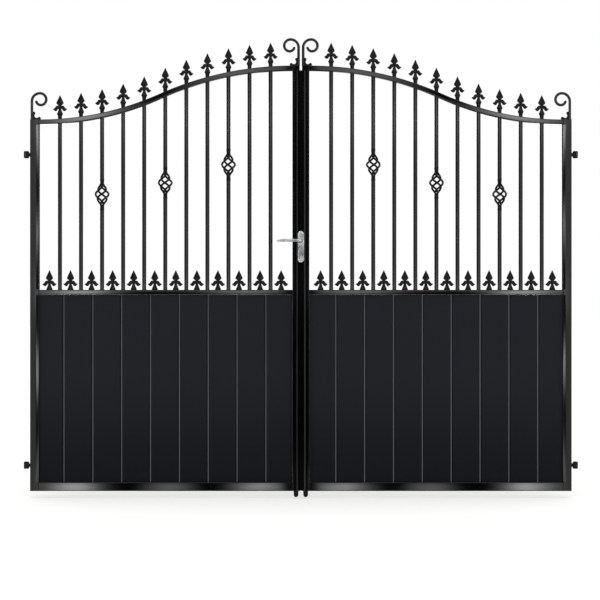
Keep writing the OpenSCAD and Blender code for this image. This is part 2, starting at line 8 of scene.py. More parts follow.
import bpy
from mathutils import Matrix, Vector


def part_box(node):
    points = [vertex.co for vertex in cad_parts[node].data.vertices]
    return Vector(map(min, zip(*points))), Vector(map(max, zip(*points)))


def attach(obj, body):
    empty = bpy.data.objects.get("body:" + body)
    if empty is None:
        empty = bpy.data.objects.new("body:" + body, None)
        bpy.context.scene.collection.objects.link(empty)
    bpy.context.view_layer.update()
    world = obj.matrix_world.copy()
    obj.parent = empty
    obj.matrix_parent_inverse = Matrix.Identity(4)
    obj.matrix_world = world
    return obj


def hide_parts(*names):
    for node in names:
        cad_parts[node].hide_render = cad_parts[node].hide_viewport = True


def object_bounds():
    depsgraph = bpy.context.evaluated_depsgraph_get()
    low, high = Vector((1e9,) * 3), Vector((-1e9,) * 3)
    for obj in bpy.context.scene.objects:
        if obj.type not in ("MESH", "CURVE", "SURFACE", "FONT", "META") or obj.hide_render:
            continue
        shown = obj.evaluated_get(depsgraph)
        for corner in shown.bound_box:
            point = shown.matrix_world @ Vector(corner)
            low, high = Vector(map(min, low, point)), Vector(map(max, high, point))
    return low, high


bl_info = {
    "name": "Driveway gate looks",
    "version": (1, 0, 0),
    "blender": (4, 5, 0),
    "location": "View3D > Sidebar > Gate",
    "description": "Dresses a pair of bell-topped aluminium driveway gate leaves",
    "category": "Object",
}

import math

import bpy
import numpy as np
from bpy.props import FloatProperty, FloatVectorProperty, IntProperty, PointerProperty

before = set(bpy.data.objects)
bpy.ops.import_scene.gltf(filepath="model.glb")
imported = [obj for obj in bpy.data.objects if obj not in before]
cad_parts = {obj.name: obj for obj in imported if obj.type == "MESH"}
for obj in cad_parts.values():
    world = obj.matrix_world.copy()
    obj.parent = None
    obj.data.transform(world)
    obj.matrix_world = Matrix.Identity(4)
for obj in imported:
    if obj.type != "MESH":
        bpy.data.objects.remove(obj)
CAD_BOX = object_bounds()
MM = 0.001
SIDES = ("left", "right")
# Angle between two faces from which their edge is drawn sharp
SHARP_ANGLE = math.radians(42)


def corners(node):
    """Lowest and highest corner of a CAD node, as arrays in the row frame."""
    return tuple(np.array(corner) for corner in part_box(node))


STILE_BOX = corners("left_hinge_stile")
MIDDLE = np.array([
    (STILE_BOX[0][0] + corners("right_hinge_stile")[1][0]) / 2,
    (STILE_BOX[0][1] + STILE_BOX[1][1]) / 2,
    STILE_BOX[0][2],
])


def local(node):
    """Lowest and highest corner of a CAD node in the gate's own coordinates."""
    return tuple(corner - MIDDLE for corner in corners(node))


def centre(box):
    """Middle point of a box."""
    return (box[0] + box[1]) / 2


HINGE_STILE = local("left_hinge_stile")
MEETING_STILE = local("left_meeting_stile")
MID_RAIL = local("left_mid_rail")
BOTTOM_RAIL = local("left_bottom_rail")
TOP_RAIL = local("left_top_rail")
BOARDS = local("left_boards")
STRIP = local("cover_strip")
PLATE = local("lock_backplate")
KEY = local("lock_cylinder")
LEVER = local("lever_handle")
BOLT = local("left_drop_bolt")
EYES = local("left_hinge_eyes")
BRACKETS = {level: local(f"hinge_bracket_{level}_left") for level in ("lower", "upper")}
CLEAR = (HINGE_STILE[1][0], MEETING_STILE[0][0])


def length(name, description, default):
    """A length that a user may change."""
    return FloatProperty(name=name, description=description, default=default, min=0, unit="LENGTH")


def linear(code):
    """Linear colour from an sRGB hex code."""
    parts = np.array([int(code[k:k + 2], 16) for k in (1, 3, 5)]) / 255
    return tuple(np.where(parts <= 0.04045, parts / 12.92, ((parts + 0.055) / 1.055) ** 2.4))


def paint(name, description, code):
    """A colour that a user may change, given as an sRGB hex code."""
    return FloatVectorProperty(name=name, description=description, default=linear(code),
                               subtype="COLOR", size=3, min=0, max=1)


class GateFrameSizes(bpy.types.PropertyGroup):
    """Sizes of the welded frame."""
    edge_radius: length("Edge radius", "Rounding of the frame sections", 3 * MM)
    end_radius: length("End radius", "Rounding of the sections' ends", 1.5 * MM)
    chamfer_width: length("Chamfer width", "Width of the hinge stiles' inner chamfers", 14 * MM)
    chamfer_depth: length("Chamfer depth", "Depth of the hinge stiles' inner chamfers", 5 * MM)
    chamfer_stop: length("Chamfer stop", "Height of the slopes that end those chamfers at the rails", 3 * MM)
    top_rail_height: length("Top rail", "Thickness of the curved rail", 25 * MM)
    low_arc_share: FloatProperty(
        name="Low arc", description="Part of the bell curve that hollows upwards",
        default=0.478, min=0.1, max=0.9, subtype="FACTOR")


class GateBarSizes(bpy.types.PropertyGroup):
    """Sizes of the upright bars."""
    count: IntProperty(name="Bars", description="Upright bars in each leaf", default=11, min=3)
    diameter: length("Diameter", "Diameter of the bars", 22 * MM)
    shift: length("Shift", "Distance that the bars sit towards the hinges", 3 * MM)
    end_share: FloatProperty(
        name="End spacing", description="Space beside the stiles as a share of the bar spacing",
        default=1.008, min=0.5, max=1.5, subtype="FACTOR")
    weld: length("Weld bead", "Thickness of the weld bead at each bar end", 3 * MM)


class GateSpearSizes(bpy.types.PropertyGroup):
    """Sizes of the spear castings."""
    height: length("Height", "Height of a finial above its rail", 124 * MM)
    head_width: length("Head width", "Width of the leaf-shaped head", 38 * MM)
    head_depth: length("Head depth", "Thickness of the head at its ridge", 17 * MM)
    barb_depth: length("Barb depth", "Thickness of the barbs at their roots", 14 * MM)
    spike_cut: length("Spike cut", "Height at which a spike's casting is cut", 22 * MM)


class GateBasketSizes(bpy.types.PropertyGroup):
    """Sizes of the twisted baskets."""
    length: length("Length", "Length of the strands between the collars", 146 * MM)
    belly: length("Belly", "Length over which the strands part", 134 * MM)
    width: length("Width", "Width of the belly on the strands' middle lines", 67 * MM)
    strand: length("Strand", "Diameter of a strand", 11 * MM)
    collar_height: length("Collar height", "Height of an end collar", 11 * MM)
    collar_width: length("Collar width", "Diameter of an end collar", 23.5 * MM)


class GateScrollSizes(bpy.types.PropertyGroup):
    """Sizes of the scrolls on top of the stiles."""
    rod: length("Rod", "Diameter of the scroll rod", 14.6 * MM)
    stem: length("Stem", "Height of the straight stem", 96.5 * MM)
    radius: length("Radius", "Radius of the first quarter turn", 41.5 * MM)
    edge: length("Edge", "Distance of an outer stem from the leaf's outer face", 6.5 * MM)
    inset: length("Inset", "Distance of an inner stem from the leaf's inner face", 6 * MM)
    foot: length("Foot", "Length of the foot casting along the rail", 46 * MM)
    foot_depth: length("Foot depth", "Thickness of the foot casting", 14 * MM)


class GateBoardSizes(bpy.types.PropertyGroup):
    """Sizes of the tongue-and-groove boards."""
    pitch: length("Pitch", "Covering width of a board", 150 * MM)
    shift: length("Shift", "Distance that the boards sit towards the hinges", 7.5 * MM)
    bevel: length("Bevel", "Width of the bevel beside each joint", 6 * MM)
    bevel_depth: length("Bevel depth", "Depth of that bevel", 2.5 * MM)
    joint: length("Joint", "Width of the open joint", 4.5 * MM)
    tongue: length("Tongue", "Length of the tongue in its groove", 8 * MM)
    tongue_depth: length("Tongue depth", "Thickness of the tongue", 6 * MM)
    play: length("Play", "Play between a board and the next one's groove", 0.2 * MM)
    edge: length("Edge", "Rounding of the boards' edges", 0.8 * MM)


class GateHingeSizes(bpy.types.PropertyGroup):
    """Sizes of the hinge forks and the drop bolts."""
    plate: length("Plate", "Thickness of a fork's plate", 6.8 * MM)
    plate_corner: length("Plate corner", "Rounding of the plate's corners", 2 * MM)
    ear: length("Ear", "Thickness of a fork's ears", 6.5 * MM)
    ear_corner: length("Ear corner", "Rounding of the ears' corners at the plate", 6 * MM)
    ear_inset: length("Ear inset", "Distance of the ears from the plate's outer face", 0.8 * MM)
    bolt_growth: length("Bolt growth", "How far a drop bolt is drawn outside its solid", 1.2 * MM)
    bolt_edge: length("Bolt edge", "Bevel at the end of a bolt and of its stud", 1 * MM)
    stud: length("Stud", "Diameter of a bolt's thumb stud", 8 * MM)


class GateLockSizes(bpy.types.PropertyGroup):
    """Sizes of the cover strip, the lever and the key cylinder."""
    strip_bevel: length("Strip bevel", "Width of the bevels along the cover strip's edges", 6 * MM)
    strip_bevel_depth: length("Strip bevel depth", "Depth of those bevels", 1.9 * MM)
    strip_clearance: length("Strip clearance", "Distance of the strip from the right leaf", 5 * MM)
    strip_edge: length("Strip edge", "Rounding of the strip's edges", 0.6 * MM)
    strip_end: length("Strip end", "Rounding of the strip's ends", 1 * MM)
    plate_width: length("Plate width", "Width of the backplate", 33.8 * MM)
    plate_height: length("Plate height", "Height of the backplate", 163 * MM)
    plate_edge: length("Plate edge", "Rounding of the backplate's front edge", 3 * MM)
    hub: length("Hub", "Size of the lever's hub", 22 * MM)
    key_web: length("Key web", "Width of the key cylinder below its barrel", 10 * MM)
    key_edge: length("Key edge", "Rounding of the key cylinder's front edge", 0.6 * MM)
    keyway_width: length("Keyway width", "Width of the keyway", 2.5 * MM)
    keyway_height: length("Keyway height", "Height of the keyway", 9 * MM)
    keyway_edge: length("Keyway edge", "Rounding of the keyway's corners", 0.5 * MM)
    # Dark ring round the key cylinder: painted shadow of the gap between cylinder and plate
    shadow_gap: length("Seal", "Width of the seal round the key cylinder", 1.2 * MM)


class GateFinishes(bpy.types.PropertyGroup):
    """Colours of the finishes."""
    coat: paint("Frame coat", "Gloss powder coat of the frame", "#060606")
    # The boards' colour at the foot is painted shade: the same coat darkened towards the foot
    board_top: paint("Board coat, top", "Satin powder coat of the boards at the mid rail", "#212429")
    board_shaded_foot: paint("Board coat, foot", "Satin powder coat of the boards at the foot", "#131519")
    steel: paint("Hinge steel", "Blackened steel of forks, pins and bolts", "#070707")
    chrome: paint("Lever chrome", "Satin chrome of lever, plate and key cylinder", "#c4c5c6")
    # Darker chrome colour: painted dark reflections, mixed into the chrome in cloudy patches
    chrome_dark_reflection: paint("Lever chrome, patches", "The same chrome in its dull, handled patches", "#7e7f80")
    floor: paint("Floor", "Pale studio floor", "#f4f4f2")


class GateStage(bpy.types.PropertyGroup):
    """Camera and light."""
    distance: length("Camera distance", "From the camera to the front of the gate", 9.0)
    view_width: length("View width", "Width seen at the front of the gate", 3.114)
    aim_x: FloatProperty(name="Aim, across", description="Middle of the view from the gate's middle",
                         default=-4.5 * MM, unit="LENGTH")
    aim_z: FloatProperty(name="Aim, up", description="Height of the view's middle above the frame's foot",
                         default=0.992, unit="LENGTH")
    sky: FloatProperty(name="Sky", description="Level of the white surroundings as a light",
                       default=0.7, min=0)


def unit(vectors):
    """Vectors scaled to length one."""
    return vectors / np.linalg.norm(vectors, axis=-1, keepdims=True)


def circle(sides):
    """Unit circle, counter-clockwise."""
    angle = np.linspace(0, 2 * np.pi, sides, endpoint=False)
    return np.stack([np.cos(angle), np.sin(angle)], -1)


def super_ellipse(sides, exponent):
    """Closed curve |x|^exponent + |y|^exponent = 1, counter-clockwise."""
    around = circle(sides)
    return np.sign(around) * np.abs(around) ** (2 / exponent)


def spline(knots, steps):
    """Smooth curve through knots (Catmull-Rom), with that many steps between each two."""
    knots = np.asarray(knots, float)
    padded = np.concatenate([knots[:1], knots, knots[-1:]])
    a, b, c, d = (padded[k:k + len(knots) - 1, None] for k in range(4))
    t = np.linspace(0, 1, steps, endpoint=False)[None, :, None]
    curve = b + t / 2 * (c - a + t * (2 * a - 5 * b + 4 * c - d + t * (3 * b - a - 3 * c + d)))
    return np.concatenate([curve.reshape(-1, knots.shape[1]), knots[-1:]])


def rectangle(width, depth):
    """Corners of a rectangle about the origin, counter-clockwise."""
    return np.array([(-1, -1), (1, -1), (1, 1), (-1, 1)]) * (width / 2, depth / 2)


def softened(polygon, trim, steps=4):
    """Counter-clockwise polygon whose corners are parabolas that start that far before each corner."""
    polygon = np.asarray(polygon, float)
    trim = np.broadcast_to(np.reshape(trim, (-1, 1)), (len(polygon), 1))
    before = unit(np.roll(polygon, 1, 0) - polygon) * trim
    after = unit(np.roll(polygon, -1, 0) - polygon) * trim
    t = np.linspace(0, 1, steps + 1)[:, None]
    return (polygon[:, None] + (1 - t) ** 2 * before[:, None] + t ** 2 * after[:, None]).reshape(-1, 2)


def raised(flat, z):
    """Flat points set at a height."""
    return np.concatenate([flat, np.broadcast_to(z, flat[..., :1].shape)], -1)


def carry(path, side, profile):
    """Profile carried along a path: path point + x of the profile along side + y square to both."""
    run = unit(np.gradient(path, axis=-2))
    side = np.broadcast_to(side, path.shape)
    side = unit(side - run * np.sum(side * run, -1, keepdims=True))
    rise = np.cross(run, side)
    return (path[..., None, :] + profile[..., 0, None] * side[..., None, :]
            + profile[..., 1, None] * rise[..., None, :])


def turned(profile, sides=28):
    """Profile of radius and height turned about z."""
    profile = np.asarray(profile, float)
    around = circle(sides)
    return raised(profile[:, None, :1] * around, profile[:, None, 1:])


def prism(outline, span, first=0.1 * MM, last=0.1 * MM, steps=4, draw=1.0):
    """Outline carried up z; near both ends it is drawn in, square to its edge, along a quarter ellipse
    that is draw times as wide as it is high."""
    angle = np.linspace(0, np.pi / 2, steps + 1)
    dip, inset = 1 - np.cos(angle), draw * (1 - np.sin(angle))
    z = np.concatenate([first * dip, span - last * dip[::-1]])
    inset = np.concatenate([first * inset, last * inset[::-1]])
    run = np.roll(outline, -1, 0) - np.roll(outline, 1, 0)
    out = unit(np.stack([run[:, 1], -run[:, 0]], -1))
    return raised(outline - inset[:, None, None] * out, z[:, None, None])


def facing_front(grid):
    """Turns x, y, z to x, -z, y: what was drawn in plan stands upright and faces the front."""
    return grid[..., [0, 2, 1]] * (1, -1, 1)


def facing_hinge(grid):
    """Turns x, y, z to z, x, y: what stood upright lies along x."""
    return grid[..., [2, 0, 1]]


def skin(grid, loop=False):
    """Points and faces of closed sections along paths: grid[..., i, j] is point j of section i.
    Each section joins the next, and the ends are closed, or joined to each other for a loop."""
    rings, sides = grid.shape[-3:-1]
    index = np.arange(grid.size // 3).reshape(-1, rings, sides)
    beside = np.roll(index, -1, axis=2)
    here = index if loop else index[:, :-1]
    here_beside = beside if loop else beside[:, :-1]
    after = np.roll(index, -1, axis=1) if loop else index[:, 1:]
    after_beside = np.roll(beside, -1, axis=1) if loop else beside[:, 1:]
    faces = [np.stack([here, here_beside, after_beside, after], -1).reshape(-1, 4)]
    if not loop:
        faces += [index[:, 0, ::-1], index[:, -1]]
    return grid.reshape(-1, 3), faces


def make_piece(name, side, body, finish, skins, stands_for=(), flat_faces=False):
    """One mesh from several skins, set in the row frame, mirrored for the right leaf."""
    points, faces, count = [], [], 0
    for skin_points, skin_faces in skins:
        points.append(skin_points)
        for group in skin_faces:
            faces += (count + (group if side == "left" else group[:, ::-1])).tolist()
        count += len(skin_points)
    points = np.concatenate(points) * (1 if side == "left" else -1, 1, 1) + MIDDLE
    mesh = bpy.data.meshes.new(name)
    mesh.from_pydata(points.tolist(), [], faces)
    mesh.shade_smooth()
    mesh.set_sharp_from_angle(angle=SHARP_ANGLE)
    mesh.materials.append(finish)
    piece = bpy.data.objects.new(name, mesh)
    bpy.context.scene.collection.objects.link(piece)
    if flat_faces:
        piece.modifiers.new("flat faces", "WEIGHTED_NORMAL").keep_sharp = True
    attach(piece, body)
    if stands_for:
        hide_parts(*stands_for)
    return piece


def make_pair(name, finish, skins, flat_faces=False):
    """A piece of each leaf's welded frame, which stands for the CAD node of its name."""
    for side in SIDES:
        make_piece(f"{side}_{name}_coated", side, f"{side}_leaf", finish, skins,
                   [f"{side}_{name}"], flat_faces)


def add_node(tree, kind, settings=None, inputs=None):
    """Adds a node: settings are its own values, and an input is a value or a socket to link."""
    node = tree.nodes.new(kind)
    for key, value in (settings or {}).items():
        setattr(node, key, value)
    for key, value in (inputs or {}).items():
        if isinstance(value, bpy.types.NodeSocket):
            tree.links.new(value, node.inputs[key])
        else:
            node.inputs[key].default_value = value
    return node


def new_material(name):
    """Empty node material, its tree and its output."""
    material = bpy.data.materials.new(name)
    material.use_nodes = True
    tree = material.node_tree
    tree.nodes.clear()
    return material, tree, add_node(tree, "ShaderNodeOutputMaterial")


def finish_named(name, maker):
    """The material of that name, made once: its maker adds the nodes and gives back the shader."""
    material = bpy.data.materials.get(name)
    if not material:
        material, tree, out = new_material(name)
        where = add_node(tree, "ShaderNodeTexCoord").outputs["Object"]
        shader = maker(tree, where, bpy.context.scene.gate_finishes)
        tree.links.new(shader.outputs[0], out.inputs["Surface"])
    return material


# Sockets of the mix node's colours, which share their names with those of its other kinds
MIX_FIRST, MIX_SECOND, MIX_RESULT = 6, 7, 2


def gloss_powder_coat(tree, where, colours):
    """Gloss black polyester powder coat baked on aluminium: nearly black, with a clear mirror-like
    skin of orange peel, drawn coarse enough to show, and the slow waves of rolled sections that bend
    long reflections."""
    peel = add_node(tree, "ShaderNodeTexNoise", inputs={
        "Vector": where, "Scale": 1 / (5 * MM), "Detail": 2})
    slow = add_node(tree, "ShaderNodeTexNoise", inputs={
        "Vector": where, "Scale": 1 / (350 * MM), "Detail": 1})
    height = add_node(tree, "ShaderNodeMath", {"operation": "MULTIPLY"}, {
        0: slow.outputs["Fac"], 1: 0.6 * MM})
    waves = add_node(tree, "ShaderNodeBump", inputs={
        "Strength": 1, "Distance": 1, "Height": height.outputs[0]})
    grain = add_node(tree, "ShaderNodeBump", inputs={
        "Strength": 0.1, "Distance": 0.03 * MM, "Height": peel.outputs["Fac"], "Normal": waves.outputs[0]})
    gloss = add_node(tree, "ShaderNodeMapRange", inputs={
        "Value": slow.outputs["Fac"], "To Min": 0.03, "To Max": 0.06})
    return add_node(tree, "ShaderNodeBsdfPrincipled", inputs={
        "Base Color": (*colours.coat, 1), "Roughness": gloss.outputs[0], "IOR": 1.42,
        "Normal": grain.outputs[0]})


def cast_powder_coat(tree, where, colours):
    """The same black coat over sand-cast aluminium: the casting's grain, drawn coarse enough to show,
    comes through and dulls it."""
    sand = add_node(tree, "ShaderNodeTexNoise", inputs={
        "Vector": where, "Scale": 1 / (1.5 * MM), "Detail": 3})
    lumps = add_node(tree, "ShaderNodeTexNoise", inputs={
        "Vector": where, "Scale": 1 / (9 * MM), "Detail": 2})
    cast = add_node(tree, "ShaderNodeBump", inputs={
        "Strength": 0.5, "Distance": 0.5 * MM, "Height": lumps.outputs["Fac"]})
    grain = add_node(tree, "ShaderNodeBump", inputs={
        "Strength": 0.3, "Distance": 0.08 * MM, "Height": sand.outputs["Fac"], "Normal": cast.outputs[0]})
    gloss = add_node(tree, "ShaderNodeMapRange", inputs={
        "Value": lumps.outputs["Fac"], "To Min": 0.2, "To Max": 0.4})
    return add_node(tree, "ShaderNodeBsdfPrincipled", inputs={
        "Base Color": (*colours.coat, 1), "Roughness": gloss.outputs[0], "IOR": 1.42,
        "Specular IOR Level": 0.25, "Normal": grain.outputs[0]})


# Part of the boards' height over which their painted shade fades, so that their coat turns paler towards the
# mid rail
BOARD_SHADE_FADE_SHARE = 0.62


def satin_board_coat(tree, where, colours):
    """Satin blue-black powder coat on extruded aluminium boards: a soft, wide sheen with a pebbled
    texture, drawn coarse enough to show, and painted shade that darkens the colour towards the foot,
    so that it is paler towards the mid rail."""
    height = add_node(tree, "ShaderNodeSeparateXYZ", inputs={0: where}).outputs["Z"]
    low, high = (float(corner[2]) for corner in corners("left_boards"))
    share = add_node(tree, "ShaderNodeMapRange", {"interpolation_type": "SMOOTHSTEP"}, {
        "Value": height, "From Min": low, "From Max": low + BOARD_SHADE_FADE_SHARE * (high - low)})
    # Painted shade: the coat's colour is mixed darker towards the foot
    painted_light_tint = add_node(tree, "ShaderNodeMix", {"data_type": "RGBA"}, {
        "Factor": share.outputs[0], MIX_FIRST: (*colours.board_shaded_foot, 1),
        MIX_SECOND: (*colours.board_top, 1)})
    pebble = add_node(tree, "ShaderNodeTexNoise", inputs={"Vector": where, "Scale": 1 / (2.5 * MM)})
    bump = add_node(tree, "ShaderNodeBump", inputs={
        "Strength": 0.2, "Distance": 0.08 * MM, "Height": pebble.outputs["Fac"]})
    gloss = add_node(tree, "ShaderNodeMapRange", inputs={
        "Value": pebble.outputs["Fac"], "To Min": 0.36, "To Max": 0.48})
    return add_node(tree, "ShaderNodeBsdfPrincipled", inputs={
        "Base Color": painted_light_tint.outputs[MIX_RESULT], "Roughness": gloss.outputs[0], "IOR": 1.45,
        "Specular IOR Level": 0.08, "Normal": bump.outputs[0]})


def board_edge_coat(tree, where, colours):
    """The boards' coat on their rolled bevels, where it flows out smoother and glossier."""
    peel = add_node(tree, "ShaderNodeTexNoise", inputs={
        "Vector": where, "Scale": 1 / (6 * MM), "Detail": 2})
    gloss = add_node(tree, "ShaderNodeMapRange", inputs={
        "Value": peel.outputs["Fac"], "To Min": 0.16, "To Max": 0.26})
    return add_node(tree, "ShaderNodeBsdfPrincipled", inputs={
        "Base Color": (*colours.board_top, 1), "Roughness": gloss.outputs[0], "IOR": 1.45})


def blackened_steel(tree, where, colours):
    """Black-oxidised steel of the hinge forks, pins and bolts: dark, oily, with a cloudy sheen."""
    cloud = add_node(tree, "ShaderNodeTexNoise", inputs={
        "Vector": where, "Scale": 1 / (8 * MM), "Detail": 4})
    bump = add_node(tree, "ShaderNodeBump", inputs={
        "Strength": 0.15, "Distance": 0.1 * MM, "Height": cloud.outputs["Fac"]})
    gloss = add_node(tree, "ShaderNodeMapRange", inputs={
        "Value": cloud.outputs["Fac"], "To Min": 0.3, "To Max": 0.5})
    return add_node(tree, "ShaderNodeBsdfPrincipled", inputs={
        "Base Color": (*colours.steel, 1), "Roughness": gloss.outputs[0], "Specular IOR Level": 0.12,
        "Normal": bump.outputs[0]})


def satin_chrome(tree, where, colours):
    """Satin chrome on cast zinc: brushed along x, drawn coarse enough to show, with painted dark reflections
    mixed into its colour in cloudy patches, over the soft dents of the polished casting, which break its
    reflections into light and dark."""
    stretched = add_node(tree, "ShaderNodeMapping", inputs={"Vector": where, "Scale": (1, 1, 12)})
    brush = add_node(tree, "ShaderNodeTexNoise", inputs={
        "Vector": stretched.outputs[0], "Scale": 1 / (6 * MM), "Detail": 3})
    dents = add_node(tree, "ShaderNodeTexNoise", inputs={
        "Vector": where, "Scale": 1 / (36 * MM), "Detail": 1})
    soft = add_node(tree, "ShaderNodeBump", inputs={
        "Strength": 1, "Distance": 2.2 * MM, "Height": dents.outputs["Fac"]})
    bump = add_node(tree, "ShaderNodeBump", inputs={
        "Strength": 0.2, "Distance": 0.05 * MM, "Height": brush.outputs["Fac"], "Normal": soft.outputs[0]})
    gloss = add_node(tree, "ShaderNodeMapRange", inputs={
        "Value": dents.outputs["Fac"], "To Min": 0.12, "To Max": 0.28})
    # Painted reflection: cloudy patches where the chrome's colour is mixed darker
    cloud = add_node(tree, "ShaderNodeTexNoise", inputs={
        "Vector": where, "Scale": 1 / (48 * MM), "Detail": 1})
    share = add_node(tree, "ShaderNodeMapRange", inputs={
        "Value": cloud.outputs["Fac"], "From Min": 0.34, "From Max": 0.66})
    painted_light_tint = add_node(tree, "ShaderNodeMix", {"data_type": "RGBA"}, {
        "Factor": share.outputs[0], MIX_FIRST: (*colours.chrome_dark_reflection, 1),
        MIX_SECOND: (*colours.chrome, 1)})
    return add_node(tree, "ShaderNodeBsdfPrincipled", inputs={
        "Base Color": painted_light_tint.outputs[MIX_RESULT], "Metallic": 1, "Roughness": gloss.outputs[0],
        "Normal": bump.outputs[0]})


def coat():
    """Finish of the sections and rods in the welded frame."""
    return finish_named("gloss_black_powder_coat", gloss_powder_coat)


def cast_coat():
    """Finish of the castings on the welded frame."""
    return finish_named("cast_black_powder_coat", cast_powder_coat)


def bell(x, offset=0.0):
    """Height and slope of a line along the curved rail, offset upwards from its middle line.
    Two arcs, level at the stiles, meet where both lean the same: their radii add up to
    (width^2 + rise^2) / (2 rise), and each arc's height is its centre -+ sqrt(radius^2 - run^2)."""
    sizes = bpy.context.scene.gate_frame
    width = CLEAR[1] - CLEAR[0]
    rise = MEETING_STILE[1][2] - HINGE_STILE[1][2]
    arc_sum = (width ** 2 + rise ** 2) / (2 * rise)
    low = arc_sum * sizes.low_arc_share
    high = arc_sum - low
    half = sizes.top_rail_height / 2
    turn = CLEAR[0] + width * sizes.low_arc_share
    low_run = np.minimum(x, turn) - CLEAR[0]
    high_run = CLEAR[1] - np.maximum(x, turn)
    low_line = HINGE_STILE[1][2] - half + low - np.sqrt((low - offset) ** 2 - low_run ** 2)
    high_line = MEETING_STILE[1][2] - half - high + np.sqrt((high + offset) ** 2 - high_run ** 2)
    slope = np.where(x < turn, low_run / np.sqrt(low ** 2 - low_run ** 2),
                     high_run / np.sqrt(high ** 2 - high_run ** 2))
    return np.where(x < turn, low_line, high_line), slope


def bar_places():
    """Distances of the bars across the left leaf, and their pitch."""
    sizes = bpy.context.scene.gate_bars
    pitch = (CLEAR[1] - CLEAR[0]) / (sizes.count - 1 + 2 * sizes.end_share)
    return CLEAR[0] + pitch * (sizes.end_share + np.arange(sizes.count)) - sizes.shift, pitch


# Heights of the baskets' middles between the mid rail and the curved rail, from the hinge side
BASKET_HEIGHT_SHARES = (0.546, 0.546, 0.581)


def basket_places():
    """Numbers of the bars that carry a basket, at the quarters of the row, and the heights of the
    baskets' middles."""
    sizes = bpy.context.scene.gate_bars
    numbers = np.rint((sizes.count + 1) * np.arange(1, 4) / 4).astype(int) - 1
    x = bar_places()[0][numbers]
    foot = MID_RAIL[1][2]
    return numbers, foot + (bell(x)[0] - foot) * np.array(BASKET_HEIGHT_SHARES)


# Rounding of a hinge stile's corners as shares of the frame's edge radius
STILE_CORNER_SHARES = (1, 0.4, 0.4, 0.4, 0.4, 1)


class GATE_OT_frame_members(bpy.types.Operator):
    """Stiles and rails: rounded sections carried along straight lines and the bell curve"""
    bl_idname = "gate.frame_members"
    bl_label = "Frame members"

    def stile_section(self, wide, deep):
        """Outline with rounded outer edges and chamfered inner ones, whose corners are rounded less."""
        w, d, _ = (HINGE_STILE[1] - HINGE_STILE[0]) / 2
        trim = np.multiply(STILE_CORNER_SHARES, bpy.context.scene.gate_frame.edge_radius)
        polygon = [(-w, -d), (w - wide, -d), (w, deep - d), (w, d - deep), (w - wide, d), (-w, d)]
        return softened(polygon, trim) + (HINGE_STILE[0][0] + w, 0)

    def hinge_stile(self):
        """Hinge stile: a plain section carried up z that opens to wide chamfers between the rails:
        outline = plain + share * (chamfered - plain)."""
        sizes = bpy.context.scene.gate_frame
        plain = self.stile_section(sizes.edge_radius, sizes.edge_radius)
        chamfered = self.stile_section(sizes.chamfer_width, sizes.chamfer_depth)
        rail_foot = bell(CLEAR[0], -sizes.top_rail_height / 2)[0]
        stops = np.array([BOTTOM_RAIL[1][2], MID_RAIL[0][2], MID_RAIL[1][2], rail_foot])
        low = stops - sizes.chamfer_stop * np.array([0, 1, 0, 1])
        z = np.stack([low, low + sizes.chamfer_stop], -1)
        share = np.array([0, 1, 1, 0, 0, 1, 1, 0])[:, None, None]
        rows = raised(plain + share * (chamfered - plain), z.reshape(-1, 1, 1))
        ends = np.split(prism(plain, HINGE_STILE[1][2], sizes.end_radius, sizes.end_radius), 2)
        return np.concatenate([ends[0], rows, ends[1]])

    def meeting_stile(self):
        """Meeting stile: a rectangle with half the others' rounding, carried up z."""
        sizes = bpy.context.scene.gate_frame
        w, d, h = MEETING_STILE[1] - MEETING_STILE[0]
        grid = prism(softened(rectangle(w, d), sizes.edge_radius / 2), h, sizes.end_radius, sizes.end_radius)
        return grid + (MEETING_STILE[0][0] + w / 2, 0, 0)

    def level_rail(self, box):
        """Level rail: a rounded rectangle carried along x."""
        w, d, h = box[1] - box[0]
        outline = softened(rectangle(d, h), bpy.context.scene.gate_frame.edge_radius)
        return facing_hinge(prism(outline, w)) + (box[0][0], 0, centre(box)[2])

    def curved_rail(self):
        """Curved rail: a rounded rectangle carried along the bell curve."""
        sizes = bpy.context.scene.gate_frame
        x = np.linspace(*CLEAR, 121)
        path = np.stack([x, np.zeros_like(x), bell(x)[0]], -1)
        section = rectangle(TOP_RAIL[1][1] - TOP_RAIL[0][1], sizes.top_rail_height)
        return carry(path, (0, 1, 0), softened(section, sizes.edge_radius))

    def execute(self, context):
        members = {
            "hinge_stile": self.hinge_stile(),
            "meeting_stile": self.meeting_stile(),
            "mid_rail": self.level_rail(MID_RAIL),
            "bottom_rail": self.level_rail(BOTTOM_RAIL),
            "top_rail": self.curved_rail(),
        }
        for name, grid in members.items():
            make_pair(name, coat(), [skin(grid)], flat_faces=True)
        return {"FINISHED"}


# Sideways part of a face's direction that marks a board's bevel
BEVEL_LEAN = (0.3, 0.5)


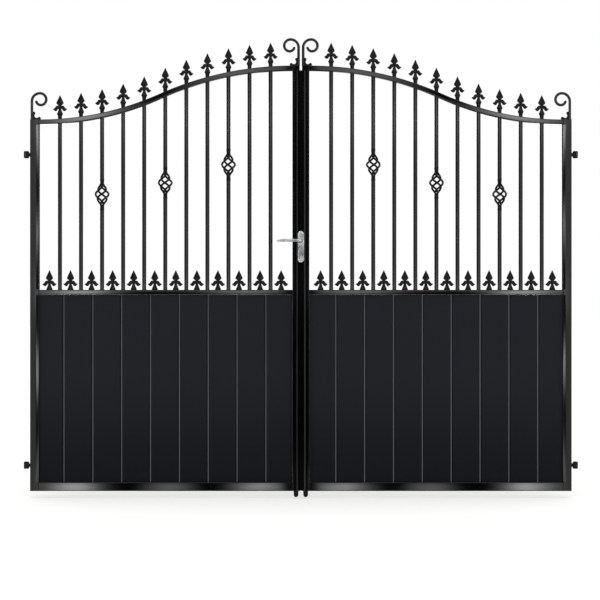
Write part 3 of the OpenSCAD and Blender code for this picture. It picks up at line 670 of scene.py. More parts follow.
class GATE_OT_boards(bpy.types.Operator):
    """Boards: outlines with a bevel, a groove, an open joint and a tongue, carried from rail to rail"""
    bl_idname = "gate.boards"
    bl_label = "Boards"

    def board(self, left, right, grooved, tongued):
        """Board: a front of bevel, face and joint, mirrored to the back, with a groove or a plain edge
        at the left and a tongue or a plain edge at the right, carried up z."""
        sizes = bpy.context.scene.gate_boards
        gap = sizes.play
        left, right = left + gap, right - gap
        half = (BOARDS[1][1] - BOARDS[0][1]) / 2
        thin = sizes.tongue_depth / 2
        shoulder = right - sizes.joint
        tip, root = right + sizes.tongue - 2 * gap, left + sizes.tongue
        groove = [(root, -thin - gap), (left, -thin - gap)]
        bevel = [(left, sizes.bevel_depth - half), (left + sizes.bevel, -half)]
        front = groove + bevel if grooved else [(left, -half)]
        front += [(shoulder, -half), (shoulder, -thin), (tip, -thin)] if tongued else [(right, -half)]
        back = [(x, -y) for x, y in front[::-1]]
        outline = softened(front + back, sizes.edge)
        return prism(outline, BOARDS[1][2] - BOARDS[0][2]) + (0, 0, BOARDS[0][2])

    def execute(self, context):
        """As many whole boards as fit about the leaf's middle, shifted, and a cut one at each stile."""
        sizes = context.scene.gate_boards
        width = CLEAR[1] - CLEAR[0]
        whole = 2 * int((width / sizes.pitch - 1) // 2) + 1
        first = (width - whole * sizes.pitch) / 2 - sizes.shift
        joints = CLEAR[0] + first + sizes.pitch * np.arange(whole + 1)
        edges = [CLEAR[0], *joints, CLEAR[1]]
        skins = [skin(self.board(edges[k], edges[k + 1], k > 0, k < whole + 1)) for k in range(whole + 2)]
        finish = finish_named("satin_black_board_coat", satin_board_coat)
        for side in SIDES:
            piece = make_piece(f"{side}_boards_coated", side, f"{side}_leaf", finish, skins,
                               [f"{side}_boards"], flat_faces=True)
            piece.data.materials.append(finish_named("gloss_black_board_edge", board_edge_coat))
            normals = np.empty(3 * len(piece.data.polygons), np.float32)
            piece.data.polygons.foreach_get("normal", normals)
            lean = np.abs(normals[::3])
            bevelled = (lean > BEVEL_LEAN[0]) & (lean < BEVEL_LEAN[1])
            piece.data.polygons.foreach_set("material_index", bevelled.astype(np.int32))
        return {"FINISHED"}


# Depth that a bar runs into the mid rail and into a basket's collar
BAR_SINK = 2 * MM
COLLAR_LAP = 1 * MM
# Ripples round a weld bead, and their height as a share of its thickness
BEAD_RIPPLES = 16
BEAD_RIPPLE_SHARE = 0.16


class GATE_OT_bars(bpy.types.Operator):
    """Bars: circles carried upright, parted at the baskets, with a weld bead at each end"""
    bl_idname = "gate.bars"
    bl_label = "Bars and weld beads"

    def bead(self, x, z, slope, radius):
        """Rings of bead: a small circle carried round a bar, with ripples, leaning with the rail."""
        sizes = bpy.context.scene.gate_bars
        around = np.linspace(0, 2 * np.pi, 48, endpoint=False)
        small = circle(8) * sizes.weld / 2
        thick = 1 + BEAD_RIPPLE_SHARE * np.cos(BEAD_RIPPLES * around)
        reach = radius + small[:, 0] * thick[:, None]
        px = reach * np.cos(around)[:, None] + x[:, None, None]
        py = np.broadcast_to(reach * np.sin(around)[:, None], px.shape)
        pz = z[:, None, None] + small[:, 1] * thick[:, None] + slope[:, None, None] * (px - x[:, None, None])
        return np.stack([px, py, pz], -1)[..., ::-1, :]

    def execute(self, context):
        """Bars from the mid rail to the curved rail; one with a basket stops at its collars."""
        radius = context.scene.gate_bars.diameter / 2
        half_rail = context.scene.gate_frame.top_rail_height / 2
        baskets = context.scene.gate_baskets
        x, _ = bar_places()
        foot = np.full_like(x, MID_RAIL[1][2] - BAR_SINK)
        top, slope = bell(x)
        numbers, middles = basket_places()
        reach = baskets.length / 2 + baskets.collar_height - COLLAR_LAP
        run_x = np.append(x, x[numbers])
        start = np.append(foot, middles + reach)
        end = np.append(top, top[numbers])
        end[numbers] = middles - reach
        share = np.linspace(0, 1, 9)
        z = start[:, None] + (end - start)[:, None] * share
        path = np.stack([np.broadcast_to(run_x[:, None], z.shape), np.zeros_like(z), z], -1)
        rods = carry(path, (1, 0, 0), circle(32) * radius)
        over, under = bell(x, half_rail)[0], bell(x, -half_rail)[0]
        flat = np.zeros_like(x)
        beads = [self.bead(x, z, lean, radius)
                 for z, lean in ((foot + BAR_SINK, flat), (under, slope), (over, slope))]
        make_pair("bars", coat(), [skin(rods)])
        for side in SIDES:
            make_piece(f"{side}_weld_beads", side, f"{side}_leaf", coat(),
                       [skin(bead, loop=True) for bead in beads])
        return {"FINISHED"}


# Spear casting in millimetres for a height of 124: radius and height of a finial's shank, of a spike's
# cut foot and of the skirt over either, half width and height of the head, and the two edges of a barb
SHANK = [(10.6, -9), (10.6, 12), (11.6, 13.5), (11.6, 15.5), (11.2, 17), (13.2, 20.5), (15.4, 24)]
CUT_FOOT = [(15.4, 22), (15.8, 24)]
SKIRT = [(15.9, 26), (15.3, 28.5), (12.9, 33.5), (10.4, 39.5), (8.4, 45.5), (7.4, 51), (7.2, 56), (7, 62)]
HEAD = [(7.4, 58), (7.6, 66), (9.2, 71), (13.6, 75.4), (17.6, 79.4), (19, 83), (18.4, 86.2),
        (15.6, 92.6), (11.6, 101.2), (7.4, 110), (3.4, 118.8), (1.1, 124)]
BARB_UPPER = [(0, 68.5), (6, 69), (12, 70), (17.4, 69.6), (22.4, 65.6), (25.8, 60), (29.4, 56.2), (36.8, 53)]
BARB_LOWER = [(0, 52), (5, 53.4), (9, 52.6), (12, 48.6), (15.2, 44.2), (20, 41), (27, 41.6), (36.8, 50.8)]
SPEAR_DRAWN_HEIGHT = 124
# Exponent of the head's sections, and how a barb's depth falls: sqrt(1 + bluntness - share^power)
HEAD_EXPONENT = 1.4
BARB_BLUNTNESS = 0.02
BARB_POWER = 2.2


class GATE_OT_spears(bpy.types.Operator):
    """Spear castings: a turned foot, a ridged leaf-shaped head and two curled barbs"""
    bl_idname = "gate.spears"
    bl_label = "Finials and dog spikes"

    def head(self, scale):
        """Head: at each height a super-ellipse whose low exponent gives it edges and ridges."""
        sizes = bpy.context.scene.gate_spears
        edge = spline(HEAD, 4)
        section = super_ellipse(32, HEAD_EXPONENT)
        half = edge[:, :1] / max(r for r, _ in HEAD) / 2
        x = half * sizes.head_width * section[:, 0]
        y = half * sizes.head_depth * section[:, 1]
        return np.stack([x, y, np.broadcast_to(edge[:, 1:] * scale, x.shape)], -1)

    def barb(self, scale, way):
        """Barb: ellipses between an upper and a lower edge, their depth falling towards the tip."""
        sizes = bpy.context.scene.gate_spears
        upper, lower = spline(BARB_UPPER, 4) * scale, spline(BARB_LOWER, 4) * scale
        middle, half = (upper + lower) / 2, (upper - lower) / 2
        along = np.linspace(0, 1, len(middle))[:, None]
        depth = sizes.barb_depth / 2 * np.sqrt(1 + BARB_BLUNTNESS - along ** BARB_POWER)
        around = circle(18)
        x = way * (middle[:, :1] + half[:, :1] * around[:, 0])
        z = middle[:, 1:] + half[:, 1:] * around[:, 0]
        y = way * depth * around[:, 1]
        return np.stack([x, y, z], -1)

    def casting(self, foot):
        """Casting: foot and skirt turned about z, with a head and two barbs."""
        scale = bpy.context.scene.gate_spears.height / SPEAR_DRAWN_HEIGHT
        profile = spline(foot + SKIRT, 4) * scale
        return [turned(profile), self.head(scale), self.barb(scale, 1), self.barb(scale, -1)]

    def execute(self, context):
        """Finials over the bars, and cut castings on the mid rail half a pitch beside them."""
        x, pitch = bar_places()
        rail_top = bell(x, context.scene.gate_frame.top_rail_height / 2)[0]
        spike_x = np.append(x - pitch / 2, x[-1] + pitch / 2)
        cut = context.scene.gate_spears.spike_cut
        spike_z = np.full_like(spike_x, MID_RAIL[1][2] - cut)
        rows = {
            "finials": (np.stack([x, 0 * x, rail_top], -1), self.casting(SHANK)),
            "dog_spikes": (np.stack([spike_x, 0 * spike_x, spike_z], -1), self.casting(CUT_FOOT)),
        }
        for name, (places, grids) in rows.items():
            make_pair(name, cast_coat(), [skin(grid + places[:, None, None]) for grid in grids])
        return {"FINISHED"}


# Radius of a basket's collar, and height from its inner edge, as shares of the collar's sizes
COLLAR_SHARES = [(0.62, -0.28), (0.72, -0.12), (0.93, 0.02), (1, 0.2), (1, 0.62), (0.94, 0.86), (0.86, 1)]


class GATE_OT_baskets(bpy.types.Operator):
    """Baskets: four circles carried along a helix that swells to a belly, between turned collars"""
    bl_idname = "gate.baskets"
    bl_label = "Baskets"

    def strands(self):
        """Strand: radius = tight + (belly - tight) * cosine step, angle = phase + one full turn."""
        sizes = bpy.context.scene.gate_baskets
        share = np.linspace(0, 1, 73)
        away = np.minimum(1, np.abs(2 * share - 1) * sizes.length / sizes.belly)
        tight = sizes.strand / 2
        reach = tight + (sizes.width / 2 - tight) * (1 + np.cos(np.pi * away)) / 2
        angle = 2 * np.pi * (share + np.arange(4)[:, None] / 4)
        out = np.stack([np.cos(angle), np.sin(angle), np.zeros_like(angle)], -1)
        path = reach[:, None] * out
        path[..., 2] = sizes.length * (share - 0.5)
        return carry(path, out, circle(12) * sizes.strand / 2)

    def collar(self):
        """Collar: a rounded ring that narrows to the strands, turned about the bar."""
        sizes = bpy.context.scene.gate_baskets
        reach, high, foot = sizes.collar_width / 2, sizes.collar_height, sizes.length / 2
        return turned(spline([(reach * r, foot + high * z) for r, z in COLLAR_SHARES], 4))

    def execute(self, context):
        numbers, middles = basket_places()
        x = bar_places()[0][numbers]
        places = np.stack([x, 0 * x, middles], -1)
        upper = self.collar()
        lower = (upper * (1, 1, -1))[::-1]
        skins = [skin(grid + places[:, None, None]) for grid in (upper, lower)]
        skins.append(skin(self.strands() + places[:, None, None, None]))
        make_pair("baskets", cast_coat(), skins)
        return {"FINISHED"}


# Quarter turns of a scroll as shares of the first one's radius
TURN_SHARES = (1, 0.795, 0.687, 0.578)
# Points over which a scroll's end is rounded off, and how far: sqrt(1 - draw * (1 - share)^2)
SCROLL_TIP = 3
SCROLL_TIP_DRAW = 0.95
# Lobed edge of a scroll's foot in millimetres from the stem's axis and the rail, for a length of 46,
# the depth that the casting reaches into the rail, and the exponent of its sections
FOOT_LOBES = [(43, 0), (46.2, 4), (46, 10), (42.6, 14.6), (37.6, 15.6), (33, 13.6), (29, 11), (24.6, 10.2),
              (20.4, 10.8), (17, 13), (15, 16.4), (13.4, 20), (14, 25), (16.6, 29.4), (18, 34.4),
              (16.6, 39.4), (12, 42.4), (6, 42.6)]
FOOT_DRAWN_LENGTH = 46
FOOT_DRAWN_SINK = 9
FOOT_EXPONENT = 3


class GATE_OT_scrolls(bpy.types.Operator):
    """Scrolls: a circle carried up a stem and round four quarter turns, with a lobed foot casting"""
    bl_idname = "gate.scrolls"
    bl_label = "Scrolls"

    def rod(self):
        """Rod: each quarter turn's centre lies on the last one's end radius, so the curl is smooth."""
        sizes = bpy.context.scene.gate_scrolls
        stem = np.linspace(0, sizes.stem, 6)[:-1]
        path = [np.stack([0 * stem, stem], -1)]
        end, heading = np.array([0, sizes.stem]), np.pi
        for share in TURN_SHARES:
            radius = share * sizes.radius
            pivot = end - radius * np.array([np.cos(heading), np.sin(heading)])
            angle = np.linspace(heading, heading - np.pi / 2, 17)
            arc = pivot + radius * np.stack([np.cos(angle), np.sin(angle)], -1)
            path.append(arc[:-1])
            end, heading = arc[-1], heading - np.pi / 2
        path = np.concatenate([*path, end[None]])
        path = np.insert(path, 1, 0, axis=1)
        tip = np.minimum(1, np.arange(len(path))[::-1] / SCROLL_TIP)
        width = sizes.rod / 2 * np.sqrt(1 - (1 - tip) ** 2 * SCROLL_TIP_DRAW)
        return carry(path, (0, 1, 0), circle(20) * width[:, None, None])

    def foot(self):
        """Foot: rounded sections, from a line inside rail and stem that turns at their corner, out to
        the lobed edge; each is a super-ellipse, fuller than an ellipse."""
        sizes = bpy.context.scene.gate_scrolls
        outer = spline(FOOT_LOBES, 4)
        share = np.linspace(-1, 1, len(outer))
        inner = np.stack([np.maximum(0, -share) * outer[0][0], np.maximum(0, share) * outer[-1][1]], -1)
        inner[:, 1] -= FOOT_DRAWN_SINK * np.minimum(1, 2 * (1 - share))
        middle, half = (outer + inner) / 2, (outer - inner) / 2
        section = super_ellipse(24, FOOT_EXPONENT)
        flat = (middle[:, None] + half[:, None] * section[:, :1]) * sizes.foot / FOOT_DRAWN_LENGTH
        y = np.broadcast_to(sizes.foot_depth / 2 * section[:, 1], flat.shape[:2])
        return np.stack([flat[..., 0], y, flat[..., 1]], -1)

    def execute(self, context):
        sizes = context.scene.gate_scrolls
        outer = np.array([HINGE_STILE[0][0] + sizes.edge, 0, HINGE_STILE[1][2]])
        inner = np.array([MEETING_STILE[1][0] - sizes.inset, 0, MEETING_STILE[1][2]])
        parts = {"scrolls": (self.rod(), coat()), "scroll_feet": (self.foot(), cast_coat())}
        for name, (grid, finish) in parts.items():
            mirrored = (grid * (-1, 1, 1))[..., ::-1, :]
            make_pair(name, finish, [skin(grid + outer), skin(mirrored + inner)])
        return {"FINISHED"}


# Rounding of a fork's plates, outside and inside, as shares of their thickness, and how much wider
# than high the outer rounding is
FORK_ROUND_SHARE = 0.98
FORK_TRIM_SHARE = 0.1
FORK_DRAW = 1.7
# Radius and height of an eye's barrel, and radius and length of its neck, as shares of their sizes
BARREL_SHARES = [(0.86, -1), (0.97, -0.96), (1, -0.86), (1, 0.86), (0.97, 0.96), (0.86, 1)]
NECK_SHARES = [(0.66, 0.3), (0.62, 0.5), (0.68, 0.72), (0.95, 0.82), (1, 0.9), (1, 1)]


class GATE_OT_hinges(bpy.types.Operator):
    """Hinges: forks of a rounded plate and two ears, and eyes on turned necks"""
    bl_idname = "gate.hinges"
    bl_label = "Hinges"

    def fork(self, box):
        """Fork: a plate and two ears with half-circle noses, their outer edges rounded wide."""
        sizes = bpy.context.scene.gate_hinges
        plate, ear = sizes.plate, sizes.ear
        w, d, h = box[1] - box[0]
        outline = softened(rectangle(d, h), sizes.plate_corner)
        back = prism(outline, plate, FORK_ROUND_SHARE * plate, FORK_TRIM_SHARE * plate, 6, FORK_DRAW)
        angle = np.linspace(-np.pi / 2, np.pi / 2, 19)
        nose = np.stack([w - d / 2 + d / 2 * np.cos(angle), d / 2 * np.sin(angle)], -1)
        first, _, _, last = np.split(softened(rectangle(2 * w, d), sizes.ear_corner), 4)
        plan = np.concatenate([nose, last + (w + sizes.ear_inset, 0), first + (w + sizes.ear_inset, 0)])
        upper = prism(plan, ear, FORK_TRIM_SHARE * ear, FORK_ROUND_SHARE * ear, 6, FORK_DRAW)
        upper = upper + (0, 0, h / 2 - ear)
        lower = (upper * (1, 1, -1))[::-1]
        place = (box[0][0], *centre(box)[1:])
        return [skin(grid + place) for grid in (facing_hinge(back), upper, lower)]

    def eye(self, box):
        """Eye: a barrel round the pin with softened rims, and a waisted neck with a weld washer."""
        reach = (EYES[1][1] - EYES[0][1]) / 2
        fork_reach = (box[1][1] - box[0][1]) / 2
        half = (EYES[1][2] - EYES[0][2] - (BRACKETS["upper"][0][2] - BRACKETS["lower"][0][2])) / 2
        barrel = turned(spline(BARREL_SHARES, 3) * (fork_reach, half))
        axis = np.array([box[1][0] - fork_reach, centre(EYES)[1], centre(box)[2]])
        neck = turned(spline(NECK_SHARES, 3) * (reach, HINGE_STILE[0][0] - axis[0]))
        return [skin(barrel + axis), skin(facing_hinge(neck) + axis)]

    def execute(self, context):
        steel = finish_named("blackened_steel", blackened_steel)
        make_pair("hinge_eyes", cast_coat(), self.eye(BRACKETS["lower"]) + self.eye(BRACKETS["upper"]))
        for side in SIDES:
            for level, box in BRACKETS.items():
                make_piece(f"hinge_fork_{level}_{side}", side, "root", steel, self.fork(box),
                           [f"hinge_bracket_{level}_{side}"], flat_faces=True)
            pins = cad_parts[f"hinge_pins_{side}"]
            pins.data.materials.clear()
            pins.data.materials.append(steel)
        return {"FINISHED"}


# Angle at which a bolt's round nose begins, so that its tip is a small flat
NOSE_START = 0.02


class GATE_OT_drop_bolts(bpy.types.Operator):
    """Drop bolts: a bullet nose and a long shank turned about z, with a thumb stud"""
    bl_idname = "gate.drop_bolts"
    bl_label = "Drop bolts"

    def shank(self, radius, edge):
        """Shank: a quarter circle, a straight run and a bevel, turned about z."""
        low, high = BOLT[0][2], BOLT[1][2]
        angle = np.linspace(NOSE_START, np.pi / 2, 12)
        nose = np.stack([radius * np.sin(angle), low + radius * (1 - np.cos(angle))], -1)
        return turned(np.concatenate([nose, [(radius, high - edge), (radius - edge, high)]]))

    def stud(self, radius, reach, edge):
        """Stud: a bevelled cylinder along x."""
        return facing_hinge(turned([(radius, 0), (radius, reach - edge), (radius - edge, reach)], 20))

    def execute(self, context):
        sizes = context.scene.gate_hinges
        steel = finish_named("blackened_steel", blackened_steel)
        axis = np.array([centre(MEETING_STILE)[0], 0, 0])
        radius = (BOLT[1][1] - BOLT[0][1]) / 2 + sizes.bolt_growth
        shank = self.shank(radius, sizes.bolt_edge) + axis
        stud = self.stud(sizes.stud / 2, BOLT[1][0] - axis[0], sizes.bolt_edge) + axis
        stud = stud + (0, 0, BOLT[1][2] - sizes.stud)
        for side in SIDES:
            make_piece(f"{side}_drop_bolt_steel", side, f"{side}_drop_bolt", steel,
                       [skin(shank), skin(stud)], [f"{side}_drop_bolt"])
        return {"FINISHED"}


# Lock parts in millimetres: radius and height of the rose, of the dark ring round the spindle, a painted
# shadow of the gap between rose and lever, and of the key plug
ROSE = [(14, -1), (14, 1.4), (13.2, 2.6), (11.5, 3.2)]
SPINDLE_SHADOW_RING = [(10.2, -1), (10.2, 3.4), (9.9, 3.8), (9.4, 3.8)]
PLUG = [(6.2, -1), (6.2, 0.5), (5.7, 0.9), (5.2, 0.9)]
# Depth in the plate and height over it of the dark ring round the key cylinder, painted shadow of its gap;
# height of the keyway's dark slot, painted shadow of the keyhole, over the cylinder; and rounding of the
# edges at the back of plate and cylinder
SHADOW_GAP_SINK = 1 * MM
SHADOW_GAP_RISE = 0.3 * MM
KEYWAY_RISE = 2 * MM
BACK_EDGE = 0.2 * MM
# Path of the lever: across and back from the blade's middle line, in hub radii, up to the end of the bend;
# then across as a share of its reach, back and up in millimetres along the blade; and the depth of that
# middle line behind the lever's front, in hub radii
LEVER_NECK = [(0, 1.7), (-0.12, 0.6), (-0.8, 0.08), (-1.8, 0)]
LEVER_BLADE = [(0.38, 0, 0.6), (0.6, 1, 1), (0.8, 3, 0), (0.93, 5, -1.5), (1, 6, -3)]
LEVER_MIDDLE_SHARE = 0.75
# Height and depth of the lever along its path, as shares of its hub
LEVER_TALL_SHARES = [0.36, 0.36, 0.36, 0.37, 0.375, 0.36, 0.33, 0.3, 0.21, 0.03]
LEVER_DEEP_SHARES = [0.38, 0.38, 0.38, 0.36, 0.31, 0.27, 0.23, 0.19, 0.13, 0.02]


class GATE_OT_lock(bpy.types.Operator):
    """Lock: the cover strip, a long rounded backplate, the key cylinder and the lever"""
    bl_idname = "gate.lock"
    bl_label = "Strip and lock"

    def strip(self):
        """Strip: an outline with bevelled front edges and a rebate over the gap, carried up z."""
        sizes = bpy.context.scene.gate_lock
        bevel, depth = sizes.strip_bevel, sizes.strip_bevel_depth
        half = (STRIP[1][0] - STRIP[0][0]) / 2
        front, back = STRIP[0][1], STRIP[1][1]
        step, shelf = MEETING_STILE[1][0], back - sizes.strip_clearance
        polygon = [(-half, front + depth), (bevel - half, front), (half - bevel, front),
                   (half, front + depth), (half, shelf), (step, shelf), (step, back), (-half, back)]
        outline = softened(polygon, sizes.strip_edge)
        grid = prism(outline, STRIP[1][2] - STRIP[0][2], sizes.strip_end, sizes.strip_end)
        return grid + (0, 0, STRIP[0][2])

    def stadium(self, width, height, steps=24):
        """Outline with half-circle ends, counter-clockwise about the origin."""
        radius = width / 2
        angle = np.linspace(0, np.pi, steps + 1)
        cap = np.stack([radius * np.cos(angle), radius * np.sin(angle) + height / 2 - radius], -1)
        return np.concatenate([cap, -cap])

    def key_face(self, shadow_gap=0.0):
        """Key cylinder: a circle with a round-ended web below it, grown all round by the painted shadow
        ring's width.
        """
        web = bpy.context.scene.gate_lock.key_web / 2
        radius = (KEY[1][0] - KEY[0][0]) / 2
        high, low = KEY[1][2] - radius, KEY[0][2] + web
        web, radius = web + shadow_gap, radius + shadow_gap
        lean = math.asin(web / radius)
        top = np.linspace(lean - np.pi / 2, 3 * np.pi / 2 - lean, 33)
        foot = np.linspace(np.pi, 2 * np.pi, 13)
        round_part = np.stack([radius * np.cos(top), high + radius * np.sin(top)], -1)
        web_part = np.stack([web * np.cos(foot), low + web * np.sin(foot)], -1)
        return np.concatenate([round_part, web_part])

    def lever(self):
        """Lever: ellipses carried out of the plate, round a bend and along a blade that thins to a tip."""
        sizes = bpy.context.scene.gate_lock
        tip, front = LEVER[0][0], LEVER[0][1]
        reach = sizes.hub / 2
        middle = front + LEVER_MIDDLE_SHARE * reach
        neck = [(x * reach, middle + y * reach, 0) for x, y in LEVER_NECK]
        blade = [(x * tip, middle + y * MM, z * MM) for x, y, z in LEVER_BLADE]
        path = spline([(0, PLATE[0][1], 0), *neck, *blade], 8)
        girth = spline(np.stack([LEVER_TALL_SHARES, LEVER_DEEP_SHARES], -1) * sizes.hub, 8)
        return carry(path, (0, 0, 1), circle(28) * girth[:, None]) + (0, 0, centre(LEVER)[2])

    def execute(self, context):
        sizes = context.scene.gate_lock
        chrome = finish_named("satin_chrome_plating", satin_chrome)
        steel = finish_named("blackened_steel", blackened_steel)
        make_piece("cover_strip_coated", "left", "left_leaf", coat(), [skin(self.strip())],
                   ["cover_strip"], flat_faces=True)
        spindle = (0, PLATE[0][1], centre(LEVER)[2])
        barrel = (0, KEY[0][1], KEY[1][2] - (KEY[1][0] - KEY[0][0]) / 2)
        face = self.stadium(sizes.plate_width, sizes.plate_height)
        plate = facing_front(prism(face, PLATE[1][1] - PLATE[0][1], BACK_EDGE, sizes.plate_edge))
        rose = facing_front(turned(spline(ROSE, 3) * MM, 40))
        make_piece("lock_backplate_chromed", "left", "left_leaf", chrome,
                   [skin(plate + (0, PLATE[1][1], centre(PLATE)[2])), skin(rose + spindle)],
                   ["lock_backplate"], flat_faces=True)
        key = facing_front(prism(self.key_face(), KEY[1][1] - KEY[0][1], BACK_EDGE, sizes.key_edge))
        plug = facing_front(turned(np.multiply(PLUG, MM), 32))
        make_piece("lock_cylinder_chromed", "left", "left_leaf", chrome,
                   [skin(key + (0, KEY[1][1], 0)), skin(plug + barrel)], ["lock_cylinder"], flat_faces=True)
        # Dark steel pieces painted as shadows: the keyhole, and the gaps round the cylinder and the spindle
        slot = softened(rectangle(sizes.keyway_width, sizes.keyway_height), sizes.keyway_edge)
        slot = facing_front(prism(slot, KEYWAY_RISE))
        shadow_gap = facing_front(prism(self.key_face(sizes.shadow_gap), SHADOW_GAP_SINK + SHADOW_GAP_RISE))
        spindle_shadow_ring = facing_front(turned(np.multiply(SPINDLE_SHADOW_RING, MM), 36))
        make_piece("lock_keyway_and_shadow_rings", "left", "left_leaf", steel,
                   [skin(slot + barrel), skin(shadow_gap + (0, PLATE[0][1] + SHADOW_GAP_SINK, 0)), skin(spindle_shadow_ring + spindle)])
        make_piece("lever_chromed", "left", "lever", chrome, [skin(self.lever())],
                   ["lever_handle"])
        return {"FINISHED"}


# Distance of the studio walls as a share of the camera's, and the part of the gate's plane that they
# mirror, with the number of grid points over it
WALL_RATIO = 1.03
WALL_X = (-3.2, 3.2, 257)
WALL_Z = (-1.2, 3.4, 139)
# Side walls: distance from the gate's middle, lowest and highest edge, and their levels. Each has a panel
# in front of it, from a near to a far edge, up to a height, with a level of its own
SIDE_DISTANCE = 6.6
SIDE_HEIGHTS = (-3, 6)
SIDE_LEVELS = {"left": 0.15, "right": 0.9}
SIDE_PANEL_GAP = 0.02
SIDE_PANEL_DEPTHS = (-7.6, -3.4)
SIDE_PANEL_TOP = 1.03
SIDE_PANEL_LEVEL = 2.2
# Soft lamps: place from the gate's middle, turn in degrees, width and height, radiance
LAMPS = {
    "right_softbox": ((5.5, -3.2, 1.2), (90, 0, 62), (2.4, 3.2), 0.6),
    "left_softbox": ((-5.5, -3.2, 1.2), (90, 0, -62), (2.4, 3.2), 0.5),
    "top_softbox": ((0, -1.5, 5), (20, 0, 0), (4.5, 3), 0.6),
}
# Half width of the floor, its distance below the lowest solid, and how much whiter the camera sees it
FLOOR_REACH = 60
FLOOR_DROP = 1 * MM
FLOOR_LIFT = 0.42
# Panels of the front and the rear wall: where the gate mirrors a panel (from its middle, above its
# foot), half width and half height, brightness, steepness of the edge
PANELS = [
    (0, 0.47, 1.23, 0.62, -1.4, 8), (0, 1.65, 1.25, 0.55, 0.5, 8),
    (1.15, 1.03, 0.148, 0.1, 9, 2), (0.285, 1.03, 0.19, 0.1, 3.8, 2),
    (1.172, 0.02, 0.103, 0.1, 10.3, 2), (0.679, 0.02, 0.11, 0.1, 3.4, 2), (0.212, 0.02, 0.12, 0.1, 7.8, 2),
    (1.12, 1.945, 0.17, 0.12, 6.8, 2), (0.31, 2.18, 0.2, 0.12, 2, 2), (0.745, 2.06, 0.2, 0.14, -1.6, 2),
    (0, 1.1, 0.072, 3, -12, 6),
    (2.04, 1, 0.17, 3, -0.9, 8), (2.04, 2, 0.17, 0.15, 9, 2), (2.04, 1.37, 0.17, 0.13, 4.3, 2),
    (2.04, 0.63, 0.17, 0.14, 6, 2), (2.04, 0, 0.17, 0.14, 2.3, 2),
]


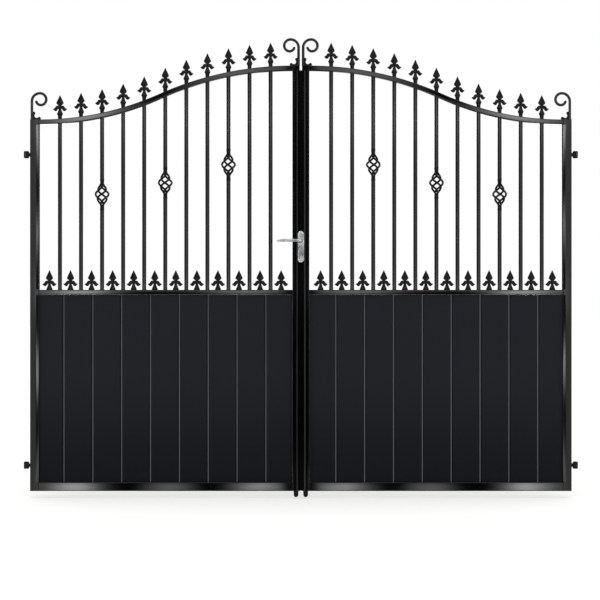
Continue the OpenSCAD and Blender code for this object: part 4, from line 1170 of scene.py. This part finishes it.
class GATE_OT_stage(bpy.types.Operator):
    """Camera, pale floor, white surroundings, soft lamps and panelled walls seen only in gloss"""
    bl_idname = "gate.stage"
    bl_label = "Stage"

    def camera(self, stage):
        """Level camera whose lens fits the view's width at the front of the gate."""
        data = bpy.data.cameras.new("camera")
        data.sensor_width = 36
        data.lens = data.sensor_width * stage.distance / stage.view_width
        data.clip_end = 200
        camera = bpy.data.objects.new("camera", data)
        front = HINGE_STILE[0][1] + MIDDLE[1]
        camera.location = (MIDDLE[0] + stage.aim_x, front - stage.distance, MIDDLE[2] + stage.aim_z)
        camera.rotation_euler = (math.pi / 2, 0, 0)
        bpy.context.scene.collection.objects.link(camera)
        bpy.context.scene.camera = camera

    def world(self, stage):
        """White surroundings: full white where they are seen or mirrored, softer as a light."""
        world = bpy.data.worlds.new("white_surroundings")
        world.use_nodes = True
        tree = world.node_tree
        tree.nodes.clear()
        path = add_node(tree, "ShaderNodeLightPath").outputs
        seen = add_node(tree, "ShaderNodeMath", {"operation": "MAXIMUM"},
                        {0: path["Is Camera Ray"], 1: path["Is Glossy Ray"]})
        seen = add_node(tree, "ShaderNodeMath", {"operation": "MAXIMUM"},
                        {0: seen.outputs[0], 1: path["Is Transmission Ray"]})
        level = add_node(tree, "ShaderNodeMapRange", inputs={"Value": seen.outputs[0], "To Min": stage.sky})
        sky = add_node(tree, "ShaderNodeBackground", inputs={
            "Color": (1, 1, 1, 1), "Strength": level.outputs[0]})
        out = add_node(tree, "ShaderNodeOutputWorld")
        tree.links.new(sky.outputs[0], out.inputs["Surface"])
        bpy.context.scene.world = world

    def stage_mesh(self, name, points, faces, material):
        """Object of the stage from points and faces."""
        mesh = bpy.data.meshes.new(name)
        mesh.from_pydata(points, [], faces)
        mesh.materials.append(material)
        piece = bpy.data.objects.new(name, mesh)
        bpy.context.scene.collection.objects.link(piece)
        return piece

    def floor(self, colour):
        """Pale floor that the camera sees as white, with the object's shadow kept."""
        material, tree, out = new_material("pale_studio_floor")
        path = add_node(tree, "ShaderNodeLightPath").outputs
        pale = add_node(tree, "ShaderNodeBsdfDiffuse", inputs={"Color": (*colour, 1)})
        lift = add_node(tree, "ShaderNodeMath", {"operation": "MULTIPLY"}, {
            0: path["Is Camera Ray"], 1: FLOOR_LIFT})
        glow = add_node(tree, "ShaderNodeEmission", inputs={"Strength": lift.outputs[0]})
        both = add_node(tree, "ShaderNodeAddShader", inputs={0: pale.outputs[0], 1: glow.outputs[0]})
        tree.links.new(both.outputs[0], out.inputs["Surface"])
        points = raised(rectangle(2 * FLOOR_REACH, 2 * FLOOR_REACH), CAD_BOX[0][2] - FLOOR_DROP)
        floor = self.stage_mesh("floor", points.tolist(), [(0, 1, 2, 3)], material)
        floor.visible_glossy = False

    def glossy_sheet(self, name, points, faces, glow):
        """Sheet that is seen only in gloss and shines at each point with its glow."""
        material, tree, out = new_material(name)
        value = add_node(tree, "ShaderNodeAttribute", {"attribute_name": "glow"})
        light = add_node(tree, "ShaderNodeEmission", inputs={"Strength": value.outputs["Fac"]})
        tree.links.new(light.outputs[0], out.inputs["Surface"])
        material.cycles.emission_sampling = "NONE"
        sheet = self.stage_mesh(name, points, faces, material)
        attribute = sheet.data.attributes.new("glow", "FLOAT", "POINT")
        attribute.data.foreach_set("value", glow.ravel().astype(np.float32))
        for ray in ("camera", "diffuse", "transmission", "volume_scatter", "shadow"):
            setattr(sheet, f"visible_{ray}", False)

    def panel_wall(self, name, way, stage):
        """Wall of soft panels and black flags behind the camera, or opposite it.
        A panel is placed where a flat face of the gate mirrors it: the wall shows it 1 + ratio times as
        far from the view's middle. Brightness = 1 + sum of level * exp(-|dx/wx|^p - |dz/wz|^p)."""
        x, z = np.meshgrid(np.linspace(*WALL_X), np.linspace(*WALL_Z), indexing="ij")
        glow = np.ones_like(x)
        for place_x, place_z, wide, high, level, power in PANELS:
            rise = np.abs((z - place_z) / high) ** power
            glow += level * np.exp(-np.abs((np.abs(x) - place_x) / wide) ** power - rise)
        wall_x = MIDDLE[0] + x * (1 + WALL_RATIO)
        wall_z = MIDDLE[2] + z + (z - stage.aim_z) * WALL_RATIO
        wall_y = np.full_like(x, MIDDLE[1] + way * stage.distance * WALL_RATIO)
        points = np.stack([wall_x, wall_y, wall_z], -1).reshape(-1, 3)
        index = np.arange(x.size).reshape(x.shape)
        faces = np.stack([index[:-1, :-1], index[1:, :-1], index[1:, 1:], index[:-1, 1:]], -1).reshape(-1, 4)
        self.glossy_sheet(name, points.tolist(), faces.tolist(), np.maximum(glow, 0))

    def side_wall(self, side, way, stage):
        """Wall at one side, and a bright panel before it that the boards' bevels mirror."""
        x, reach = MIDDLE[0] + way * SIDE_DISTANCE, stage.distance * WALL_RATIO
        low, high = SIDE_HEIGHTS
        parts = {
            "wall": (x, (-reach, reach), high, SIDE_LEVELS[side]),
            "panel": (x - way * SIDE_PANEL_GAP, SIDE_PANEL_DEPTHS, SIDE_PANEL_TOP, SIDE_PANEL_LEVEL),
        }
        for part, (plane, (near, far), top, level) in parts.items():
            points = [(plane, near, low), (plane, far, low), (plane, far, top), (plane, near, top)]
            self.glossy_sheet(f"{side}_side_{part}", points, [(0, 1, 2, 3)], np.full(4, level))

    def softbox(self, name, place, turn, size, radiance):
        """Area lamp of that width, height and radiance: power = radiance * pi * area."""
        data = bpy.data.lights.new(name, "AREA")
        data.shape = "RECTANGLE"
        data.size, data.size_y = size
        data.energy = radiance * math.pi * size[0] * size[1]
        lamp = bpy.data.objects.new(name, data)
        lamp.location = (MIDDLE[0] + place[0], *place[1:])
        lamp.rotation_euler = np.radians(turn)
        lamp.visible_camera = False
        bpy.context.scene.collection.objects.link(lamp)

    def execute(self, context):
        stage = context.scene.gate_stage
        self.camera(stage)
        self.world(stage)
        self.floor(context.scene.gate_finishes.floor)
        for name, side, way in (("front_wall", "left", -1), ("rear_wall", "right", 1)):
            self.panel_wall(name, way, stage)
            self.side_wall(side, way, stage)
        for name, lamp in LAMPS.items():
            self.softbox(name, *lamp)
        context.scene.view_settings.view_transform = "Standard"
        return {"FINISHED"}


GROUPS = {
    "gate_frame": GateFrameSizes, "gate_bars": GateBarSizes, "gate_spears": GateSpearSizes,
    "gate_baskets": GateBasketSizes, "gate_scrolls": GateScrollSizes, "gate_boards": GateBoardSizes,
    "gate_hinges": GateHingeSizes, "gate_lock": GateLockSizes, "gate_finishes": GateFinishes,
    "gate_stage": GateStage,
}
OPERATORS = (
    GATE_OT_stage, GATE_OT_frame_members, GATE_OT_boards, GATE_OT_bars, GATE_OT_spears, GATE_OT_baskets,
    GATE_OT_scrolls, GATE_OT_hinges, GATE_OT_drop_bolts, GATE_OT_lock,
)


class GATE_PT_panel(bpy.types.Panel):
    """Lists the gate's sizes and the operators that build it"""
    bl_idname = "GATE_PT_panel"
    bl_label = "Driveway gate"
    bl_space_type = "VIEW_3D"
    bl_region_type = "UI"
    bl_category = "Gate"

    def draw(self, context):
        for name, group in GROUPS.items():
            box = self.layout.box()
            box.label(text=group.__doc__)
            for key in group.__annotations__:
                box.prop(getattr(context.scene, name), key)
        for operator in OPERATORS:
            self.layout.operator(operator.bl_idname)


def register():
    """Adds the sizes, the operators and the panel to Blender."""
    for cls in (*GROUPS.values(), *OPERATORS, GATE_PT_panel):
        bpy.utils.register_class(cls)
    for name, group in GROUPS.items():
        setattr(bpy.types.Scene, name, PointerProperty(type=group))


def unregister():
    """Takes them out again."""
    for name in GROUPS:
        delattr(bpy.types.Scene, name)
    for cls in reversed((*GROUPS.values(), *OPERATORS, GATE_PT_panel)):
        bpy.utils.unregister_class(cls)


def main():
    """Registers the add-on, then builds the stage and every piece."""
    register()
    for operator in OPERATORS:
        group, name = operator.bl_idname.split(".")
        getattr(getattr(bpy.ops, group), name)()


if __name__ == "__main__":
    main()
